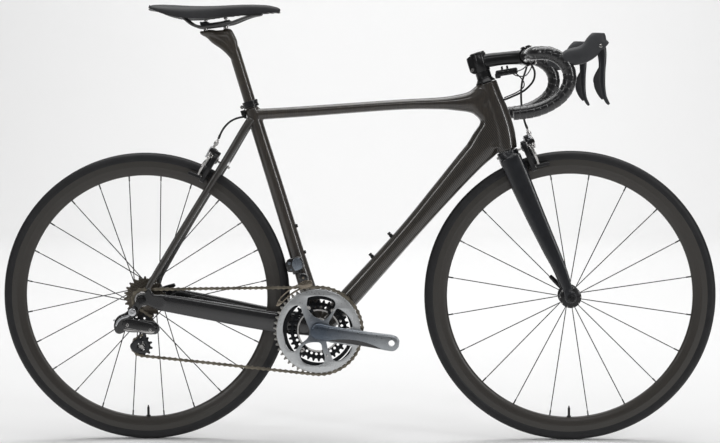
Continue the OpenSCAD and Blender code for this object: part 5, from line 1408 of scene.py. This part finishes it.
p = Part()
fm = place((-141, -34, 412), (0, -1, 0), (math.cos(D(SEAT)), 0, math.sin(D(SEAT))))
p.plate(smooth_line([(-19, -12), (-20, 4), (-14, 15), (0, 17), (14, 15.5), (20, 8), (19, -6), (12, -15),
        (-8, -17)], 6), 17, 0, fm, bevel=3.2, res=4)
p.plate(smooth_line([(-2, -14), (-6, 0), (0, 12), (12, 13), (17, 5), (16, -8), (8, -14)], 6), 1.6, 1,
        fm @ place((0, 0, 9.2)), bevel=0.7, res=3)
p.lathe([(0.02, 0), (3.2, 0), (3.6, 0.5), (3.1, 1.8), (1.6, 1.9), (1.5, 0.8), (0.02, 0.8)], 1,
        fm @ place((-11, 7, 8.6)), 28)
p.lathe([(0.02, 0), (2.2, 0), (2.5, 0.5), (2.1, 1.4), (0.02, 1.5)], 1, fm @ place((-11, -8, 8.6)), 22)
bt = place((-141, -21.6, 404), (0, -1, 0), (math.cos(D(SEAT)), 0, math.sin(D(SEAT))))
p.box((20, 30, 6.2), 0, bt, 3)
p.done("front_derailleur_body", "frame", [M["gloss"], M["grey"]],
        ["front_derailleur_mount"])


def arc(r0, r1, a0, a1, n=16):
    """Outline of a band between two radii."""
    return ring_pts((0, 0), r1, a0, a1, n) + ring_pts((0, 0), r0, a1, a0, n)


p = Part()
for y, r0, r1 in ((-52.6, 103.6, 117.5), (-40.6, 104.5, 116)):
    p.plate([(q[0] + BB[0], q[1] + BB[1]) for q in smooth_line(
        [(r * math.cos(D(a)), r * math.sin(D(a))) for r, a in ((r0 + 0.6, 99), (r0, 107), (r0, 119),
         (r0 + 0.6, 133), (r0 + 3, 146), (r1 - 3.5, 148), (r1 - 0.5, 137), (r1, 125), (r1 + 0.5, 113),
        (r1 + 3, 105), (r1 + 0.5, 98), (r0 + 5, 96.6))], 6)], 1.3, 0, across((0, 0), y),
                holes=[[(q[0] + BB[0], q[1] + BB[1]) for q in arc(r0 + 2.6, r1 - 2.6, 113, 141)]],
                bevel=0.4)
p.plate([(q[0] + BB[0], q[1] + BB[1]) for q in arc(114.2, 117.8, 99.5, 110)], 12.4, 0,
        across((0, 0), -46.6), bevel=0.8)
p.plate(smooth_line([(-130, 377), (-129, 391), (-120, 393), (-111, 387), (-112, 376), (-121, 372)], 5),
        13, 1, across((0, 0), -43), bevel=2.4, res=3)
p.lathe([(0.02, 0), (2.6, 0), (3.0, 0.5), (2.5, 1.6), (0.02, 1.7)], 0, across((-121, 383), -49.6), 24)
bronze = brushed("cage_steel", (0.30, 0.26, 0.21), 0.24, stretch=(60, 900, 400))
p.done("front_derailleur_blades", "front_cage", [bronze, M["gloss"]], ["front_derailleur_cage"])

# ---------------------------------------------------------------- quick releases

for end, c, y0, ang in (("rear", REAR, 72.3, 18), ("front", FRONT, 56.6, 135)):
    p = Part()
    q = across(c, 0)
    w = 8.5 if end == "front" else 9.0
    r_ax = 4.5 if end == "front" else 5.0
    p.lathe([(0.02, -(y0 - 0.7)), (r_ax, -(y0 - 0.7)), (r_ax, y0 - 0.7), (0.02, y0 - 0.7)], 1, q, 40)
    p.lathe([(0.02, y0), (w, y0), (w, y0 + 1.4), (w - 0.8, y0 + 1.8), (w - 0.8, y0 + 6.4),
            (w - 1.8, y0 + 8.4), (4.2, y0 + 8.6), (3.8, y0 + 7.8), (0.02, y0 + 7.8)], 0, q, 48)
    p.lathe([(w - 0.9, y0 + 2.2), (w + 0.1, y0 + 2.5), (w + 0.1, y0 + 5.8), (w - 0.9, y0 + 6.1)], 0, q,
            18, closed=True)
    p.lathe([(0.02, -y0 - 6.2), (w - 2, -y0 - 6.2), (w - 0.8, -y0 - 5.2), (w - 0.6, -y0 - 1),
            (w - 0.6, -y0), (0.02, -y0)], 0, q, 48)
    p.done(end + "_skewer_nut", "frame" if end == "rear" else "steering", [M["black"], M["steel"]],
            [end + "_skewer"])
    p = Part()
    y = 85.4 if end == "rear" else 69.4
    a = D(ang)
    ax, up = vec(math.cos(a), 0, math.sin(a)), vec(-math.sin(a), 0, math.cos(a))
    o = vec(c[0], y, c[1])
    p.lathe([(0.02, -7), (5.2, -7), (6, -6.2), (6, 6.2), (5.2, 7), (0.02, 7)], 0, place(o, up, ax), 48)
    p.lathe([(0.02, 7), (2.4, 7), (2.4, 7.3), (0.02, 7.4)], 1, place(o, up, ax), 24)
    path = catmull([o + ax * t + vec(0, h, 0) for t, h in ((4, 0), (12, 0.6), (24, 2.6), (38, 3.6),
            (50, 3.2), (56, 2.4))], 6)
    w = np.interp(np.linspace(0, 1, len(path)), [0, 0.2, 0.6, 0.92, 1], [6.4, 5.8, 5.4, 4.6, 3.2])
    n = 24
    t = np.arange(n) * 2 * math.pi / n
    ring = []
    for c0, w0 in zip(path, w):
        ring.append(c0 + np.cos(t)[:, None] * up * w0 + np.sin(t)[:, None] * vec(0, 1, 0) * 2.3)
    p.rings(ring, 0)
    p.done(end + "_cam_lever", end + "_quick_release", [M["black"], M["steel"]],
            [end + "_qr_lever"], remesh=0.5, relax=4)

# CAD nodes that stay: bearings, steerer and battery
for node, mat in (("headset_bearings", "steel"), ("steerer_tube", "bar"), ("battery", "plastic")):
    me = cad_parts[node].data
    me.materials.clear()
    me.materials.append(M[mat])

# ---------------------------------------------------------------- stage, light and camera

floor = bpy.data.meshes.new("floor")
wide, deep, r, n = 9.0, 6.0, 1.6, 24
prof = [(-5.2, 0.0), (deep, 0.0)] + [(deep + r * math.sin(D(90 * k / n)),
        r - r * math.cos(D(90 * k / n))) for k in range(1, n + 1)] + [(deep + r, 7.5)]
vs = [(x, y, z) for y, z in prof for x in (-wide, wide)]
floor.from_pydata(vs, [], [(2 * i, 2 * i + 1, 2 * i + 3, 2 * i + 2) for i in range(len(prof) - 1)])
floor = bpy.data.objects.new("studio_floor", floor)
bpy.context.collection.objects.link(floor)
for q in floor.data.polygons:
    q.use_smooth = True
white = material("studio_white", (0.80, 0.80, 0.80), 0.9, 0.0, Specular_IOR_Level=0.1)
n = Nodes(white)
n.color(n.mix(n.noise(0.5, 2), (0.79, 0.79, 0.79), (0.82, 0.82, 0.82)))
floor.data.materials.append(white)


def area(name, loc, aim, size, power, size_y=None):
    """A rectangular lamp that faces a point."""
    l = bpy.data.lights.new(name, "AREA")
    l.shape, l.size, l.size_y, l.energy = "RECTANGLE", size, size_y or size, power
    ob = bpy.data.objects.new(name, l)
    bpy.context.collection.objects.link(ob)
    ob.location = loc
    ob.rotation_euler = (Vector(aim) - Vector(loc)).to_track_quat("-Z", "Y").to_euler()
    return ob


area("top_soft", (0.0, -0.3, 3.6), (0, 0.0, 0.4), 3.4, 50, 1.8)
area("back_wash", (0.0, 1.6, 4.2), (0, 3.6, 0.0), 7.0, 158, 1.5)
area("wall_wash", (0.0, 4.6, 4.4), (0, 7.6, 0.7), 8.5, 172, 1.4)
area("floor_wash", (0.0, 0.9, 3.4), (0, 1.6, 0.0), 6.0, 14, 1.2)
area("strip_right", (3.0, -2.2, 1.9), (0.3, 0, 0.6), 0.35, 34, 2.6)
area("strip_left", (-2.6, -3.0, 2.1), (-0.2, 0, 0.6), 0.35, 22, 2.6)
area("key_front", (0.6, -4.6, 3.2), (0.0, 0, 0.7), 2.6, 20, 0.5)
world = bpy.data.worlds.new("studio")
bpy.context.scene.world = world
world.use_nodes = True
world.node_tree.nodes["Background"].inputs[0].default_value = (1, 1, 1, 1)
world.node_tree.nodes["Background"].inputs[1].default_value = 0.12

cam = bpy.data.cameras.new("camera")
cam.lens, cam.sensor_width, cam.sensor_fit = 79.2, 36.0, "HORIZONTAL"
cam.clip_start, cam.clip_end = 0.1, 60
eye = bpy.data.objects.new("camera", cam)
bpy.context.collection.objects.link(eye)
yaw, pitch, roll = D(-2.24), D(-3.92), D(-0.31)
fwd = vec(math.sin(yaw) * math.cos(pitch), math.cos(yaw) * math.cos(pitch), math.sin(pitch))
rgt = vec(math.cos(yaw), -math.sin(yaw), 0)
upv = np.cross(rgt, fwd)
rr = math.cos(roll) * rgt + math.sin(roll) * upv
uu = -math.sin(roll) * rgt + math.cos(roll) * upv
m = Matrix([[rr[0], uu[0], -fwd[0], EYE[0]], [rr[1], uu[1], -fwd[1], EYE[1]],
        [rr[2], uu[2], -fwd[2], EYE[2]], [0, 0, 0, 1]])
eye.matrix_world = m
bpy.context.scene.camera = eye
bpy.context.scene.view_settings.view_transform = "Standard"
